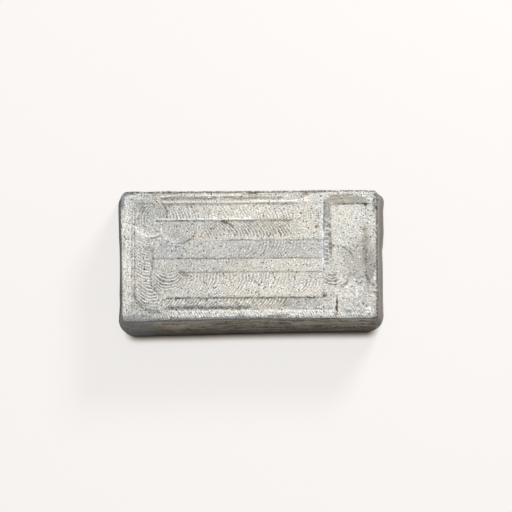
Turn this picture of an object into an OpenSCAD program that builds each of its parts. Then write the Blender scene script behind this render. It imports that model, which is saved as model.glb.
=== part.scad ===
// Cast lead brick with drafted sides, round upright corners and a planed upper face.
// Millimetres. The brick lies on its larger face, and the origin is at the middle of that face.
// X runs along the length, Y across the width and Z up through the planed face.

/* [Brick] */
// Length of the larger face, which the brick lies on
brick_length = 203.2; // [150:0.1:260]
// Width of the larger face
brick_width = 107; // [80:0.1:140]
// Height from the larger face to the planed face
brick_height = 50.8; // [38:0.1:64]
// Draft of each side, in degrees from upright
side_draft = 4.5; // [1:0.1:6]
// Radius of the upright corners, at the larger face
corner_radius = 12.7; // [11:0.1:18]
// Radius of the edge round the planed face
face_edge_radius = 1.2; // [0.5:0.1:3]
// Radius of the edge round the larger face
base_edge_radius = 1.2; // [0.4:0.1:2.5]

/* [Planed face] */
// Width of the uncut border along the left end and both long edges
border_width = 7; // [4:0.1:10]
// Length of the uncut land at the right end
land_length = 38; // [28:0.5:46]
// Radius that the cutter leaves in the corners of the planed field
field_corner_radius = 6; // [2:0.1:10]
// Depth of the planed field below the border and the land
field_depth = 0.3; // [0.1:0.05:0.6]
// Further depth of the deepest pass below the planed field
pass_depth = 0.5; // [0.1:0.05:0.8]
// Radius of the round mark that the cutter left where it went in
plunge_radius = 12.9; // [8:0.1:14]
// Width of the hooked pass where it runs down the left of the land
hook_width = 5.2; // [4:0.1:8]
// Length of the oval crown of the hooked pass, along the back of the land
hook_length = 33; // [24:0.5:36]
// Rise of the crown above the straight shelf under it
hook_rise = 7.5; // [4:0.1:9]

/* [Hidden] */
$fn = 96;

// Reach of the cutting shapes above the face they cut
overrun = 1;

// Straight steps in each arc of an outline
arc_steps = 10;

// Half the distance between the axes of the upright corners
corner_x = brick_length / 2 - corner_radius;
corner_y = brick_width / 2 - corner_radius;

// Loss of radius from the larger face up to the planed face
draft_inset = brick_height * tan(side_draft);

// Outer size of the planed face, with its round edge
face_length = brick_length - 2 * draft_inset;
face_width = brick_width - 2 * draft_inset;

// Planed field, between the borders and the land
field_left = border_width - face_length / 2;
field_right = face_length / 2 - land_length;
field_front = border_width - face_width / 2;
field_back = face_width / 2 - border_width;
field_length = field_right - field_left;
field_width = field_back - field_front;

// Passes of the cutter, from the front row to the back row
// Edges of the rows, as shares of the field's width from its front
row_edge_shares = [0.00, 0.11, 0.34, 0.47, 0.63, 0.82, 0.97];
// Where each row starts and ends, as shares of the field's length from its left
row_start_shares = [0.06, 0.14, 0.22, 0.09, 0.10, 0.12];
row_end_shares = [0.985, 0.98, 0.92, 0.97, 0.97, 0.80];
// How far each row runs into the rows beside it
row_overlap = 0.6;
// Depth of each row, as a share of the deepest pass
row_depth_shares = [1.00, 0.50, 0.20, 0.40, 0.70, 0.30];

// Middle of the round mark, as shares of the field's length and width, and its depth
plunge_x_share = 0.103;
plunge_y_share = 0.822;
plunge_depth_share = 0.85;

// Front end and shelf of the hooked pass, as shares of the field's width, and its depth
hook_front_share = 0.43;
hook_shelf_share = 0.95;
hook_depth_share = 0.60;

function field_x(share) = field_left + share * field_length;
function field_y(share) = field_front + share * field_width;

// Middle of the arc that rounds the edge of the planed face, out from a corner's axis
face_arc_out = corner_radius
    - (face_edge_radius + sin(side_draft) * (brick_height - face_edge_radius)) / cos(side_draft);
face_arc_up = brick_height - face_edge_radius;

// The same for the edge of the larger face
base_arc_out = corner_radius - base_edge_radius * (1 + sin(side_draft)) / cos(side_draft);
base_arc_up = base_edge_radius;

// Points along part of an oval with the given half axes, from one angle to another
function oval(middle, half_axes, from, to) =
    [for (step = [0 : arc_steps])
        let (angle = from + (to - from) * step / arc_steps)
        middle + [half_axes[0] * cos(angle), half_axes[1] * sin(angle)]];

// Points along an arc, from one angle to another
function arc(middle, radius, from, to) = oval(middle, [radius, radius], from, to);

// Half section of the brick from a corner's axis outwards: drafted side, round edge above and below
module edge_section() {
    polygon(concat(
        [[0, 0]],
        arc([base_arc_out, base_arc_up], base_edge_radius, -90, side_draft),
        arc([face_arc_out, face_arc_up], face_edge_radius, side_draft, 90),
        [[0, brick_height]]));
}

// One straight side, of the given length, with its outer face towards +X
module side_run(length) {
    translate([0, length / 2, 0]) rotate([90, 0, 0]) linear_extrude(length) edge_section();
}

// Quarter turn of the section about an upright corner
module corner_turn() {
    rotate_extrude(angle = 90) edge_section();
}

// The plain casting: core, two ends, two long sides and four corners
module casting() {
    translate([-corner_x, -corner_y, 0]) cube([2 * corner_x, 2 * corner_y, brick_height]);
    for (turn = [0, 180]) {
        rotate(turn) translate([corner_x, 0, 0]) side_run(2 * corner_y);
        rotate(turn) translate([0, corner_y, 0]) rotate(90) side_run(2 * corner_x);
        rotate(turn) translate([corner_x, corner_y, 0]) corner_turn();
        rotate(turn) translate([-corner_x, corner_y, 0]) rotate(90) corner_turn();
    }
}

// Cuts a flat outline down into the planed face
module face_cut(depth) {
    translate([0, 0, brick_height - depth]) linear_extrude(depth + overrun) children();
}

// Outline of the planed field, with the corner radius of the cutter
module field_outline() {
    r = field_corner_radius;
    polygon(concat(
        arc([field_left + r, field_front + r], r, 180, 270),
        arc([field_right - r, field_front + r], r, 270, 360),
        arc([field_right - r, field_back - r], r, 0, 90),
        arc([field_left + r, field_back - r], r, 90, 180)));
}

// One row of the planing, between two row edges, with the round ends that the cutter leaves
module row_cut(row) {
    low = field_y(row_edge_shares[row]) - row_overlap / 2;
    high = field_y(row_edge_shares[row + 1]) + row_overlap / 2;
    r = (high - low) / 2;
    face_cut(field_depth + pass_depth * row_depth_shares[row])
        polygon(concat(
            arc([field_x(row_start_shares[row]) + r, low + r], r, 90, 270),
            arc([field_x(row_end_shares[row]) - r, low + r], r, -90, 90)));
}

// Round mark where the cutter went in
module plunge_cut() {
    face_cut(field_depth + pass_depth * plunge_depth_share)
        translate([field_x(plunge_x_share), field_y(plunge_y_share)]) circle(plunge_radius);
}

// Hooked pass down the left of the land, with an oval crown along the back of it
module hook_cut() {
    r = hook_width / 2;
    shelf = field_y(hook_shelf_share);
    face_cut(field_depth + pass_depth * hook_depth_share)
        polygon(concat(
            arc([field_right, field_y(hook_front_share)], r, 180, 360),
            [[field_right + r, shelf]],
            oval([field_right - r + hook_length / 2, shelf], [hook_length / 2, hook_rise], 0, 180)));
}

// The whole brick
module brick() {
    color([0.70, 0.70, 0.68])
    difference() {
        casting();
        face_cut(field_depth) field_outline();
        for (row = [0 : len(row_depth_shares) - 1]) row_cut(row);
        plunge_cut();
        hook_cut();
    }
}

brick();
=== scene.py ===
"""Looks of a cast lead brick with a planed upper face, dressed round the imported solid."""

import logging
import math
from abc import ABC, abstractmethod
from dataclasses import dataclass, fields
from enum import Enum

import bpy
import numpy as np
from mathutils import Matrix, Vector


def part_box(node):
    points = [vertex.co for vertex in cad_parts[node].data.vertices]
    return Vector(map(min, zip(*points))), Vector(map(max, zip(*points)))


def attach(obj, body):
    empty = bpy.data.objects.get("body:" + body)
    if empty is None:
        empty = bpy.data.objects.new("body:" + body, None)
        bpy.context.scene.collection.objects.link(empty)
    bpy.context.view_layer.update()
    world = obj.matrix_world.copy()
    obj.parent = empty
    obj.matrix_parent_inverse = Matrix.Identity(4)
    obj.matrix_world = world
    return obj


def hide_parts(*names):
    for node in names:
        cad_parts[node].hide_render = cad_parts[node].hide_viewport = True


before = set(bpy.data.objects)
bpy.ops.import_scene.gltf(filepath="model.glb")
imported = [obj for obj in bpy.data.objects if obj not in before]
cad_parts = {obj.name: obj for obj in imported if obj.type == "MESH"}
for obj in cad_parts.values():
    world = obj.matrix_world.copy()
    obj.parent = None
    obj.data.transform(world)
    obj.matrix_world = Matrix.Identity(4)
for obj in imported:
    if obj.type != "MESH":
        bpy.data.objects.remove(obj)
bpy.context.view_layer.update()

LOG = logging.getLogger("lead_brick")

MM = 0.001
PER_MM = 1.0 / MM
NODE = "brick"
BODY = "root"

# Names of the values that the mesh carries for its finish
PLANED = "planed"
EDGE = "edge"
RELIEF = "relief"
STAIN_AND_SHADE = "stain"
CHILL = "chill"
CALM = "calm"

Colour = tuple[float, float, float, float]
Triple = tuple[float, float, float]
# Where a soft step is 0 and where it is 1
Ramp = tuple[float, float]
# Vertex numbers of each face of a mesh
Faces = list[list[int]]
# Values or fields for a node's inputs, by name or number
Inputs = dict[str | int, object]


def srgb(red: int, green: int, blue: int) -> Colour:
    """Turn a screen colour into the linear colour that the shaders use.

    Args:
        red: Red level, from 0 to 255.
        green: Green level, from 0 to 255.
        blue: Blue level, from 0 to 255.

    Returns:
        The linear colour, with full alpha.
    """
    full, knee, slope, lift, power = 255.0, 0.04045, 12.92, 0.055, 2.4
    shares = [level / full for level in (red, green, blue)]
    linear = [s / slope if s <= knee else ((s + lift) / (1.0 + lift)) ** power for s in shares]
    return (*linear, 1.0)


@dataclass(frozen=True)
class Field:
    """A value that varies over the surface: the output of a node, with the usual arithmetic."""

    canvas: "Canvas"
    socket: bpy.types.NodeSocket

    def __add__(self, other: "Field | float") -> "Field":
        """Sum of the two."""
        return self.canvas.math("ADD", self, other)

    def __sub__(self, other: "Field | float") -> "Field":
        """Difference of the two."""
        return self.canvas.math("SUBTRACT", self, other)

    def __rsub__(self, other: float) -> "Field":
        """A number less this field."""
        return self.canvas.math("SUBTRACT", other, self)

    def __mul__(self, other: "Field | float") -> "Field":
        """Product of the two."""
        return self.canvas.math("MULTIPLY", self, other)

    def __truediv__(self, other: "Field | float") -> "Field":
        """Quotient of the two."""
        return self.canvas.math("DIVIDE", self, other)

    __radd__ = __add__
    __rmul__ = __mul__


# Numbers of a colour mix's sockets, because mixes of other kinds have sockets of the same names
MIX_SHARE = 0
MIX_LOW = 6
MIX_HIGH = 7
MIX_OUT = 2


class Canvas:
    """A node tree, for geometry or for a shader, that is drawn by arithmetic on fields."""

    def __init__(self, tree: bpy.types.NodeTree) -> None:
        """Take the tree that the nodes go into."""
        self.tree = tree

    def node(self, kind: str, **settings: object) -> bpy.types.Node:
        """Add a node.

        Args:
            kind: Blender's name for the kind of node.
            settings: Properties of the node.

        Returns:
            The new node.
        """
        made = self.tree.nodes.new(kind)
        for name, value in settings.items():
            setattr(made, name, value)
        return made

    def feed(self, socket: bpy.types.NodeSocket, value: object) -> None:
        """Link a field to a socket, or set the socket to a plain value.

        Args:
            socket: The input socket.
            value: The field or the plain value.
        """
        if isinstance(value, Field):
            self.tree.links.new(value.socket, socket)
        else:
            socket.default_value = value

    def use(self, kind: str, inputs: Inputs, output: str | int = 0, **settings: object) -> Field:
        """Add a node, fill its inputs and take one of its outputs.

        Args:
            kind: Blender's name for the kind of node.
            inputs: Values or fields for the node's inputs, by name or number.
            output: Name or number of the output to take.
            settings: Properties of the node.

        Returns:
            The output as a field.
        """
        made = self.node(kind, **settings)
        for name, value in inputs.items():
            self.feed(made.inputs[name], value)
        return Field(self, made.outputs[output])

    def math(self, operation: str, *operands: "Field | float") -> Field:
        """Add a math node.

        Args:
            operation: Blender's name for the operation.
            operands: Up to three fields or numbers.

        Returns:
            The result.
        """
        return self.use("ShaderNodeMath", dict(enumerate(operands)), operation=operation)

    def most(self, first: "Field | float", second: "Field | float") -> Field:
        """The greater of the two."""
        return self.math("MAXIMUM", first, second)

    def least(self, first: "Field | float", second: "Field | float") -> Field:
        """The smaller of the two."""
        return self.math("MINIMUM", first, second)

    def smooth(self, value: Field, low: "Field | float", high: "Field | float") -> Field:
        """A soft step from 0 at low to 1 at high."""
        inputs = {"Value": value, "From Min": low, "From Max": high}
        return self.use("ShaderNodeMapRange", inputs, interpolation_type="SMOOTHSTEP")

    def bell(self, value: Field, width: "Field | float") -> Field:
        """A bell curve, 1 where the value is zero and falling off over the width."""
        share = value / width
        return self.math("EXPONENT", share * share * -1.0)

    def span(self, value: Field, low: "Field | float", high: "Field | float", soft: float) -> Field:
        """1 between low and high, with soft ends that reach as far inwards as outwards."""
        rise = self.smooth(value - low, -soft, soft)
        return rise * self.smooth(high - value, -soft, soft)

    def noise(self, at: Field, size: float, detail: float = 2.0, roughness: float = 0.5) -> Field:
        """Noise from about -1 to 1, with blotches of the given size."""
        inputs = {"Vector": at, "Scale": 1.0 / size, "Detail": detail, "Roughness": roughness}
        return self.use("ShaderNodeTexNoise", inputs) * 2.0 - 1.0

    def mix(self, share: Field, low: "Field | Colour", high: "Field | Colour") -> Field:
        """A blend of two colours, all of the second where the share is 1."""
        inputs = {MIX_SHARE: share, MIX_LOW: low, MIX_HIGH: high}
        return self.use("ShaderNodeMix", inputs, MIX_OUT, data_type="RGBA")

    def vector(self, x: "Field | float", y: "Field | float", z: "Field | float") -> Field:
        """Join three values to a vector."""
        return self.use("ShaderNodeCombineXYZ", {"X": x, "Y": y, "Z": z})

    def split(self, at: Field) -> tuple[Field, Field, Field]:
        """Take a vector apart.

        Args:
            at: The vector.

        Returns:
            Its three values.
        """
        made = self.node("ShaderNodeSeparateXYZ")
        self.feed(made.inputs[0], at)
        return tuple(Field(self, output) for output in made.outputs)

    def stretch(self, at: Field, x: float, y: float, z: float) -> Field:
        """Multiply a vector by three numbers."""
        return self.use("ShaderNodeVectorMath", {0: at, 1: (x, y, z)}, operation="MULTIPLY")

    def shift(self, at: Field, by: "Field | Triple") -> Field:
        """Add two vectors."""
        return self.use("ShaderNodeVectorMath", {0: at, 1: by}, operation="ADD")

    def carried(self, name: str) -> Field:
        """Read a value that the mesh carries.

        Args:
            name: The value's name.

        Returns:
            The value over the surface.
        """
        if self.tree.bl_idname == "ShaderNodeTree":
            return self.use("ShaderNodeAttribute", {}, "Fac", attribute_name=name)
        return self.use("GeometryNodeInputNamedAttribute", {"Name": name}, "Attribute", data_type="FLOAT")

    def seen(self) -> Field:
        """Tell, in a shader, which rays show a surface to the camera, directly or in metal or glass.

        Returns:
            1 for those rays and 0 for the others.
        """
        path = self.node("ShaderNodeLightPath")
        total = Field(self, path.outputs["Is Camera Ray"])
        for ray in ("Is Glossy Ray", "Is Transmission Ray"):
            total = self.most(total, Field(self, path.outputs[ray]))
        return total

    def place(self, tree: bpy.types.NodeTree, values: dict[str, object]) -> dict[str, Field]:
        """Place a node group.

        Args:
            tree: The group's tree.
            values: Values or fields for the group's inputs, by name.

        Returns:
            The group's outputs, by name.
        """
        kind = "ShaderNodeGroup" if tree.bl_idname == "ShaderNodeTree" else "GeometryNodeGroup"
        made = self.node(kind, node_tree=tree)
        for name, value in values.items():
            self.feed(made.inputs[name], value)
        return {output.name: Field(self, output) for output in made.outputs}


@dataclass(frozen=True)
class Sheet:
    """A node group under construction: its canvas, its inputs as fields and its output node."""

    canvas: Canvas
    inputs: dict[str, Field]
    outputs: bpy.types.Node

    def put(self, name: str, value: Field) -> None:
        """Send a field to one of the group's outputs."""
        self.canvas.feed(self.outputs.inputs[name], value)


def new_group(name: str, kind: str, inputs: dict[str, str], outputs: dict[str, str]) -> Sheet:
    """Start a node group with named sockets.

    Args:
        name: The group's name.
        kind: Blender's name for the kind of tree.
        inputs: Socket types of the inputs, by name.
        outputs: Socket types of the outputs, by name.

    Returns:
        The group, ready for its nodes.
    """
    tree = bpy.data.node_groups.new(name, kind)
    for direction, sockets in (("INPUT", inputs), ("OUTPUT", outputs)):
        for label, socket_type in sockets.items():
            tree.interface.new_socket(name=label, in_out=direction, socket_type=socket_type)
    canvas = Canvas(tree)
    entry = canvas.node("NodeGroupInput")
    taken = {label: Field(canvas, entry.outputs[label]) for label in inputs}
    return Sheet(canvas, taken, canvas.node("NodeGroupOutput"))


def cleared(owner: "bpy.types.Material | bpy.types.World") -> Canvas:
    """Empty the node tree of a material or of the world.

    Args:
        owner: The material or the world.

    Returns:
        Its tree, ready for its nodes.
    """
    owner.use_nodes = True
    owner.node_tree.nodes.clear()
    return Canvas(owner.node_tree)


@dataclass(frozen=True)
class Speckle:
    """A layer of noise: the size of its blotches in millimetres, its strength and its octaves."""

    size: float
    gain: float = 1.0
    octaves: float = 2.0
    roughness: float = 0.5
    stretch: Triple = (1.0, 1.0, 1.0)

    def read(self, canvas: Canvas, at: Field) -> Field:
        """Read the layer at a place.

        Args:
            canvas: Where the nodes go.
            at: The place, in millimetres.

        Returns:
            Noise about zero, from about -gain to gain.
        """
        place = canvas.stretch(at, *self.stretch)
        return canvas.noise(place, self.size, self.octaves, self.roughness) * self.gain


class Heading(Enum):
    """Which way the cutter ran across the face."""

    ALONG = "along the length"
    DOWN = "down towards the front"


@dataclass(frozen=True, kw_only=True)
class Mark(ABC):
    """A mark in the planed face, in millimetres from the middle of the face."""

    # Shares of darkening and of bluish tint where the mark is; the darkening is real stains in pits and
    # dents, and painted shade along the grooves of lines and arcs and under their ridges
    stain: float = 0.0
    chill: float = 0.0
    heading: Heading = Heading.ALONG

    @classmethod
    @abstractmethod
    def shape(cls, canvas: Canvas, given: dict[str, Field]) -> tuple[Field, Field]:
        """Work out the mark's height and its mask from its sizes.

        Args:
            canvas: Where the nodes go.
            given: The place on the face as X, Y and Waver, and the mark's own sizes, by name.

        Returns:
            Height in millimetres, and the mask that its darkening, partly painted shade, and its tint
            follow.
        """

    @classmethod
    def label(cls, name: str) -> str:
        """A size's name as its socket shows it."""
        return name.replace("_", " ").title()

    @classmethod
    def sizes(cls) -> list[str]:
        """Names of the sizes that the mark's group takes."""
        shared = {entry.name for entry in fields(Mark)}
        return [entry.name for entry in fields(cls) if entry.name not in shared]

    @classmethod
    def group(cls) -> bpy.types.NodeTree:
        """The node group for this kind of mark, built the first time that it is asked for.

        Returns:
            The group's tree.
        """
        known = bpy.data.node_groups.get(cls.__name__)
        if known is not None:
            return known
        number = "NodeSocketFloat"
        inputs = {label: number for label in ("X", "Y", "Waver")}
        inputs.update({cls.label(name): number for name in cls.sizes()})
        sheet = new_group(cls.__name__, "GeometryNodeTree", inputs, {"Height": number, "Mask": number})
        height, mask = cls.shape(sheet.canvas, sheet.inputs)
        sheet.put("Height", height)
        sheet.put("Mask", mask)
        return sheet.canvas.tree

    def carve(self, canvas: Canvas, x: Field, y: Field, waver: Field) -> tuple[Field, Field]:
        """Place the mark on the face.

        Args:
            canvas: The tree of the whole face.
            x: Place along the length.
            y: Place across the width.
            waver: Unsteadiness of the cutter.

        Returns:
            Height in millimetres, and the mask.
        """
        down = self.heading is Heading.DOWN
        values: dict[str, object] = {"X": y * -1.0 if down else x, "Y": x if down else y, "Waver": waver}
        values.update({self.label(name): getattr(self, name) for name in self.sizes()})
        made = canvas.place(self.group(), values)
        return made["Height"], made["Mask"]


# Mean height of the sharp crests that a round cutter leaves, as a share of their depth
CREST_MEAN = 1.0 - 2.0 / math.pi
# Soft edges of the marks, in millimetres
ROW_SOFT = 0.9
END_SOFT = 7.0
WALL_SOFT = 0.45
# How far round its ends an arc fades out, as a step of the cosine
FADE_COSINE = 0.22
# Smallest distance that is divided by
NEAR = 0.01
# Where a dent's wall starts and ends, as squared shares of its half sizes
DENT_EDGE = (1.5, 0.5)
# How much a loop shifts, swells and fades against its neighbours, and how far apart their draws of it lie
LOOP_SHIFT = 0.7
LOOP_SWELL = 0.5
LOOP_FADE = 0.9
LOOP_SHARE = 0.75
LOOP_DRAWS = (3.7, 5.3, 8.1)
# Slope of the hooked pass's oval wall, and how far left of its crown its shelf has sagged by a millimetre
OVAL_STEEP = 6.0
SHELF_REACH = 9.6


def crests(canvas: Canvas, phase: Field) -> Field:
    """Sharp crests and round valleys, from 0 to 1, one for each whole number of the phase."""
    return 1.0 - canvas.math("ABSOLUTE", canvas.math("SINE", phase * math.pi))


def sector(canvas: Canvas, dx: Field, dy: Field, facing: Field, spread: Field) -> tuple[Field, Field]:
    """Distance from a centre, and a mask for the sector that faces one way.

    Args:
        canvas: Where the nodes go.
        dx: Distance from the centre along the length.
        dy: Distance from the centre across the width.
        facing: Middle of the sector, in degrees from the length.
        spread: Half the sector's opening, in degrees.

    Returns:
        The distance, and the mask.
    """
    away = canvas.most(canvas.math("SQRT", dx * dx + dy * dy), NEAR)
    turn = canvas.math("RADIANS", facing)
    along = dx * canvas.math("COSINE", turn) + dy * canvas.math("SINE", turn)
    limit = canvas.math("COSINE", canvas.math("RADIANS", spread))
    return away, canvas.smooth(along / away - limit, 0.0, FADE_COSINE)


@dataclass(frozen=True, kw_only=True)
class CutterPass(Mark):
    """A row of arcs that a round cutter left as it stepped along."""

    low: float
    high: float
    left: float
    right: float
    centre: float
    radius: float
    pitch: float
    depth: float

    @classmethod
    def shape(cls, canvas: Canvas, given: dict[str, Field]) -> tuple[Field, Field]:
        """Arcs of one radius, a pitch apart, between the row's edges and ends.

        Args:
            canvas: Where the nodes go.
            given: The place on the face and the sizes, by name.

        Returns:
            Height in millimetres, and the mask.
        """
        rise = given["Y"] - given["Centre"]
        radius = given["Radius"]
        reach = canvas.math("SQRT", canvas.most(radius * radius - rise * rise, 0.0))
        crest = crests(canvas, (given["X"] - reach) / given["Pitch"] + given["Waver"])
        inside = canvas.span(given["Y"], given["Low"], given["High"], ROW_SOFT)
        inside = inside * canvas.span(given["X"], given["Left"], given["Right"], END_SOFT)
        return (crest - CREST_MEAN) * given["Depth"] * inside, (1.0 - crest) * inside


@dataclass(frozen=True, kw_only=True)
class RingMarks(Mark):
    """Arcs about one centre, where the cutter turned on the spot."""

    centre_x: float
    centre_y: float
    inner: float
    outer: float
    pitch: float
    depth: float
    facing: float
    spread: float

    @classmethod
    def shape(cls, canvas: Canvas, given: dict[str, Field]) -> tuple[Field, Field]:
        """Rings a pitch apart, in the sector that shows.

        Args:
            canvas: Where the nodes go.
            given: The place on the face and the sizes, by name.

        Returns:
            Height in millimetres, and the mask.
        """
        dx, dy = given["X"] - given["Centre X"], given["Y"] - given["Centre Y"]
        away, inside = sector(canvas, dx, dy, given["Facing"], given["Spread"])
        inside = inside * canvas.span(away, given["Inner"], given["Outer"], ROW_SOFT)
        crest = crests(canvas, away / given["Pitch"] + given["Waver"])
        return (crest - CREST_MEAN) * given["Depth"] * inside, (1.0 - crest) * inside


@dataclass(frozen=True, kw_only=True)
class Rim(Mark):
    """One arc of a ridge, or of a groove where the depth is negative."""

    centre_x: float
    centre_y: float
    radius: float
    width: float
    depth: float
    facing: float
    spread: float

    @classmethod
    def shape(cls, canvas: Canvas, given: dict[str, Field]) -> tuple[Field, Field]:
        """A bell-shaped ridge along the arc.

        Args:
            canvas: Where the nodes go.
            given: The place on the face and the sizes, by name.

        Returns:
            Height in millimetres, and the mask.
        """
        dx, dy = given["X"] - given["Centre X"], given["Y"] - given["Centre Y"]
        away, inside = sector(canvas, dx, dy, given["Facing"], given["Spread"])
        ridge = canvas.bell(away - given["Radius"] + given["Waver"], given["Width"]) * inside
        return ridge * given["Depth"], ridge


@dataclass(frozen=True, kw_only=True)
class ScoredLine(Mark):
    """A straight ridge between two rows, or a groove where the depth is negative."""

    level: float
    left: float
    right: float
    width: float
    depth: float

    @classmethod
    def shape(cls, canvas: Canvas, given: dict[str, Field]) -> tuple[Field, Field]:
        """A bell-shaped ridge along the line, which strays a little.

        Args:
            canvas: Where the nodes go.
            given: The place on the face and the sizes, by name.

        Returns:
            Height in millimetres, and the mask.
        """
        off = given["Y"] - given["Level"] + given["Waver"]
        ridge = canvas.bell(off, given["Width"])
        ridge = ridge * canvas.span(given["X"], given["Left"], given["Right"], END_SOFT / 2.0)
        return ridge * given["Depth"], ridge


@dataclass(frozen=True, kw_only=True)
class Floor(Mark):
    """A flat floor that was cut lower than its surroundings."""

    low: float
    high: float
    left: float
    right: float
    depth: float

    @classmethod
    def shape(cls, canvas: Canvas, given: dict[str, Field]) -> tuple[Field, Field]:
        """A rectangle with steep walls.

        Args:
            canvas: Where the nodes go.
            given: The place on the face and the sizes, by name.

        Returns:
            Height in millimetres, and the mask.
        """
        inside = canvas.span(given["Y"] + given["Waver"], given["Low"], given["High"], WALL_SOFT)
        inside = inside * canvas.span(given["X"] + given["Waver"], given["Left"], given["Right"], WALL_SOFT)
        return inside * given["Depth"] * -1.0, inside


@dataclass(frozen=True, kw_only=True)
class Hook(Mark):
    """A smooth pass that runs up from the front and sweeps round under an oval crown to the right."""

    left: float
    inner: float
    shelf: float
    crown: float
    crown_x: float
    crown_foot: float
    front: float
    right: float
    depth: float

    @classmethod
    def shape(cls, canvas: Canvas, given: dict[str, Field]) -> tuple[Field, Field]:
        """The inside of an upright half oval, less the land that the pass runs round.

        Args:
            canvas: Where the nodes go.
            given: The place on the face and the sizes, by name.

        Returns:
            Height in millimetres, and the mask.
        """
        across = (given["X"] - given["Crown X"]) / (given["Crown X"] - given["Left"])
        rise = canvas.most(given["Y"] - given["Crown Foot"], 0.0)
        rise = rise / (given["Crown"] - given["Crown Foot"])
        oval = (1.0 - across * across - rise * rise) * OVAL_STEEP + given["Waver"]
        sag = canvas.most(given["Crown X"] - given["X"], 0.0) / SHELF_REACH
        shelf = given["Shelf"] - sag * sag * sag * sag
        past = canvas.most(given["Y"] - shelf, given["Inner"] - given["X"]) + given["Waver"]
        inside = canvas.smooth(oval, -WALL_SOFT, WALL_SOFT) * canvas.smooth(past, -WALL_SOFT, WALL_SOFT)
        inside = inside * canvas.smooth(given["Y"] - given["Front"], -ROW_SOFT, ROW_SOFT)
        inside = inside * canvas.smooth(given["Right"] - given["X"], -WALL_SOFT, WALL_SOFT)
        return inside * given["Depth"] * -1.0, inside


@dataclass(frozen=True, kw_only=True)
class Dent(Mark):
    """A dent or a pit with an oval outline, or a bump where the depth is negative."""

    centre_x: float
    centre_y: float
    half_length: float
    half_width: float
    turn: float = 0.0
    depth: float

    @classmethod
    def shape(cls, canvas: Canvas, given: dict[str, Field]) -> tuple[Field, Field]:
        """A flat-bottomed oval, turned by an angle in degrees.

        Args:
            canvas: Where the nodes go.
            given: The place on the face and the sizes, by name.

        Returns:
            Height in millimetres, and the mask.
        """
        dx, dy = given["X"] - given["Centre X"], given["Y"] - given["Centre Y"]
        turn = canvas.math("RADIANS", given["Turn"])
        cosine, sine = canvas.math("COSINE", turn), canvas.math("SINE", turn)
        along = (dx * cosine + dy * sine) / given["Half Length"]
        across = (dy * cosine - dx * sine) / given["Half Width"]
        inside = canvas.smooth(along * along + across * across + given["Waver"], *DENT_EDGE)
        return inside * given["Depth"] * -1.0, inside


@dataclass(frozen=True, kw_only=True)
class LoopChain(Mark):
    """A chain of small loops, where the cutter chattered as it ran down towards the front."""

    middle: float
    first: float
    last: float
    step: float
    half_length: float
    half_width: float
    width: float
    depth: float

    @classmethod
    def shape(cls, canvas: Canvas, given: dict[str, Field]) -> tuple[Field, Field]:
        """An oval ring in each step of the chain, each a little different from the next.

        Args:
            canvas: Where the nodes go.
            given: The place on the face and the sizes, by name.

        Returns:
            Height in millimetres, and the mask.
        """
        steps = (given["Y"] - given["Last"]) / given["Step"]
        turn = canvas.math("FLOOR", steps)
        draws = (canvas.vector(turn * draw, draw, 0.0) for draw in LOOP_DRAWS)
        shift, swell, fade = (canvas.noise(draw, 1.0) for draw in draws)
        dy = (canvas.math("FRACT", steps) - 0.5) * given["Step"] / given["Half Width"]
        half_length = given["Half Length"] * (swell * LOOP_SWELL + 1.0)
        dx = (given["X"] - given["Middle"] + shift * LOOP_SHIFT) / half_length
        away = (canvas.math("SQRT", dx * dx + dy * dy) - 1.0) * given["Half Width"] + given["Waver"]
        inside = canvas.span(given["Y"], given["Last"], given["First"], ROW_SOFT)
        ring = canvas.bell(away, given["Width"]) * inside * (fade * LOOP_FADE + LOOP_SHARE)
        return ring * given["Depth"], ring


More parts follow.
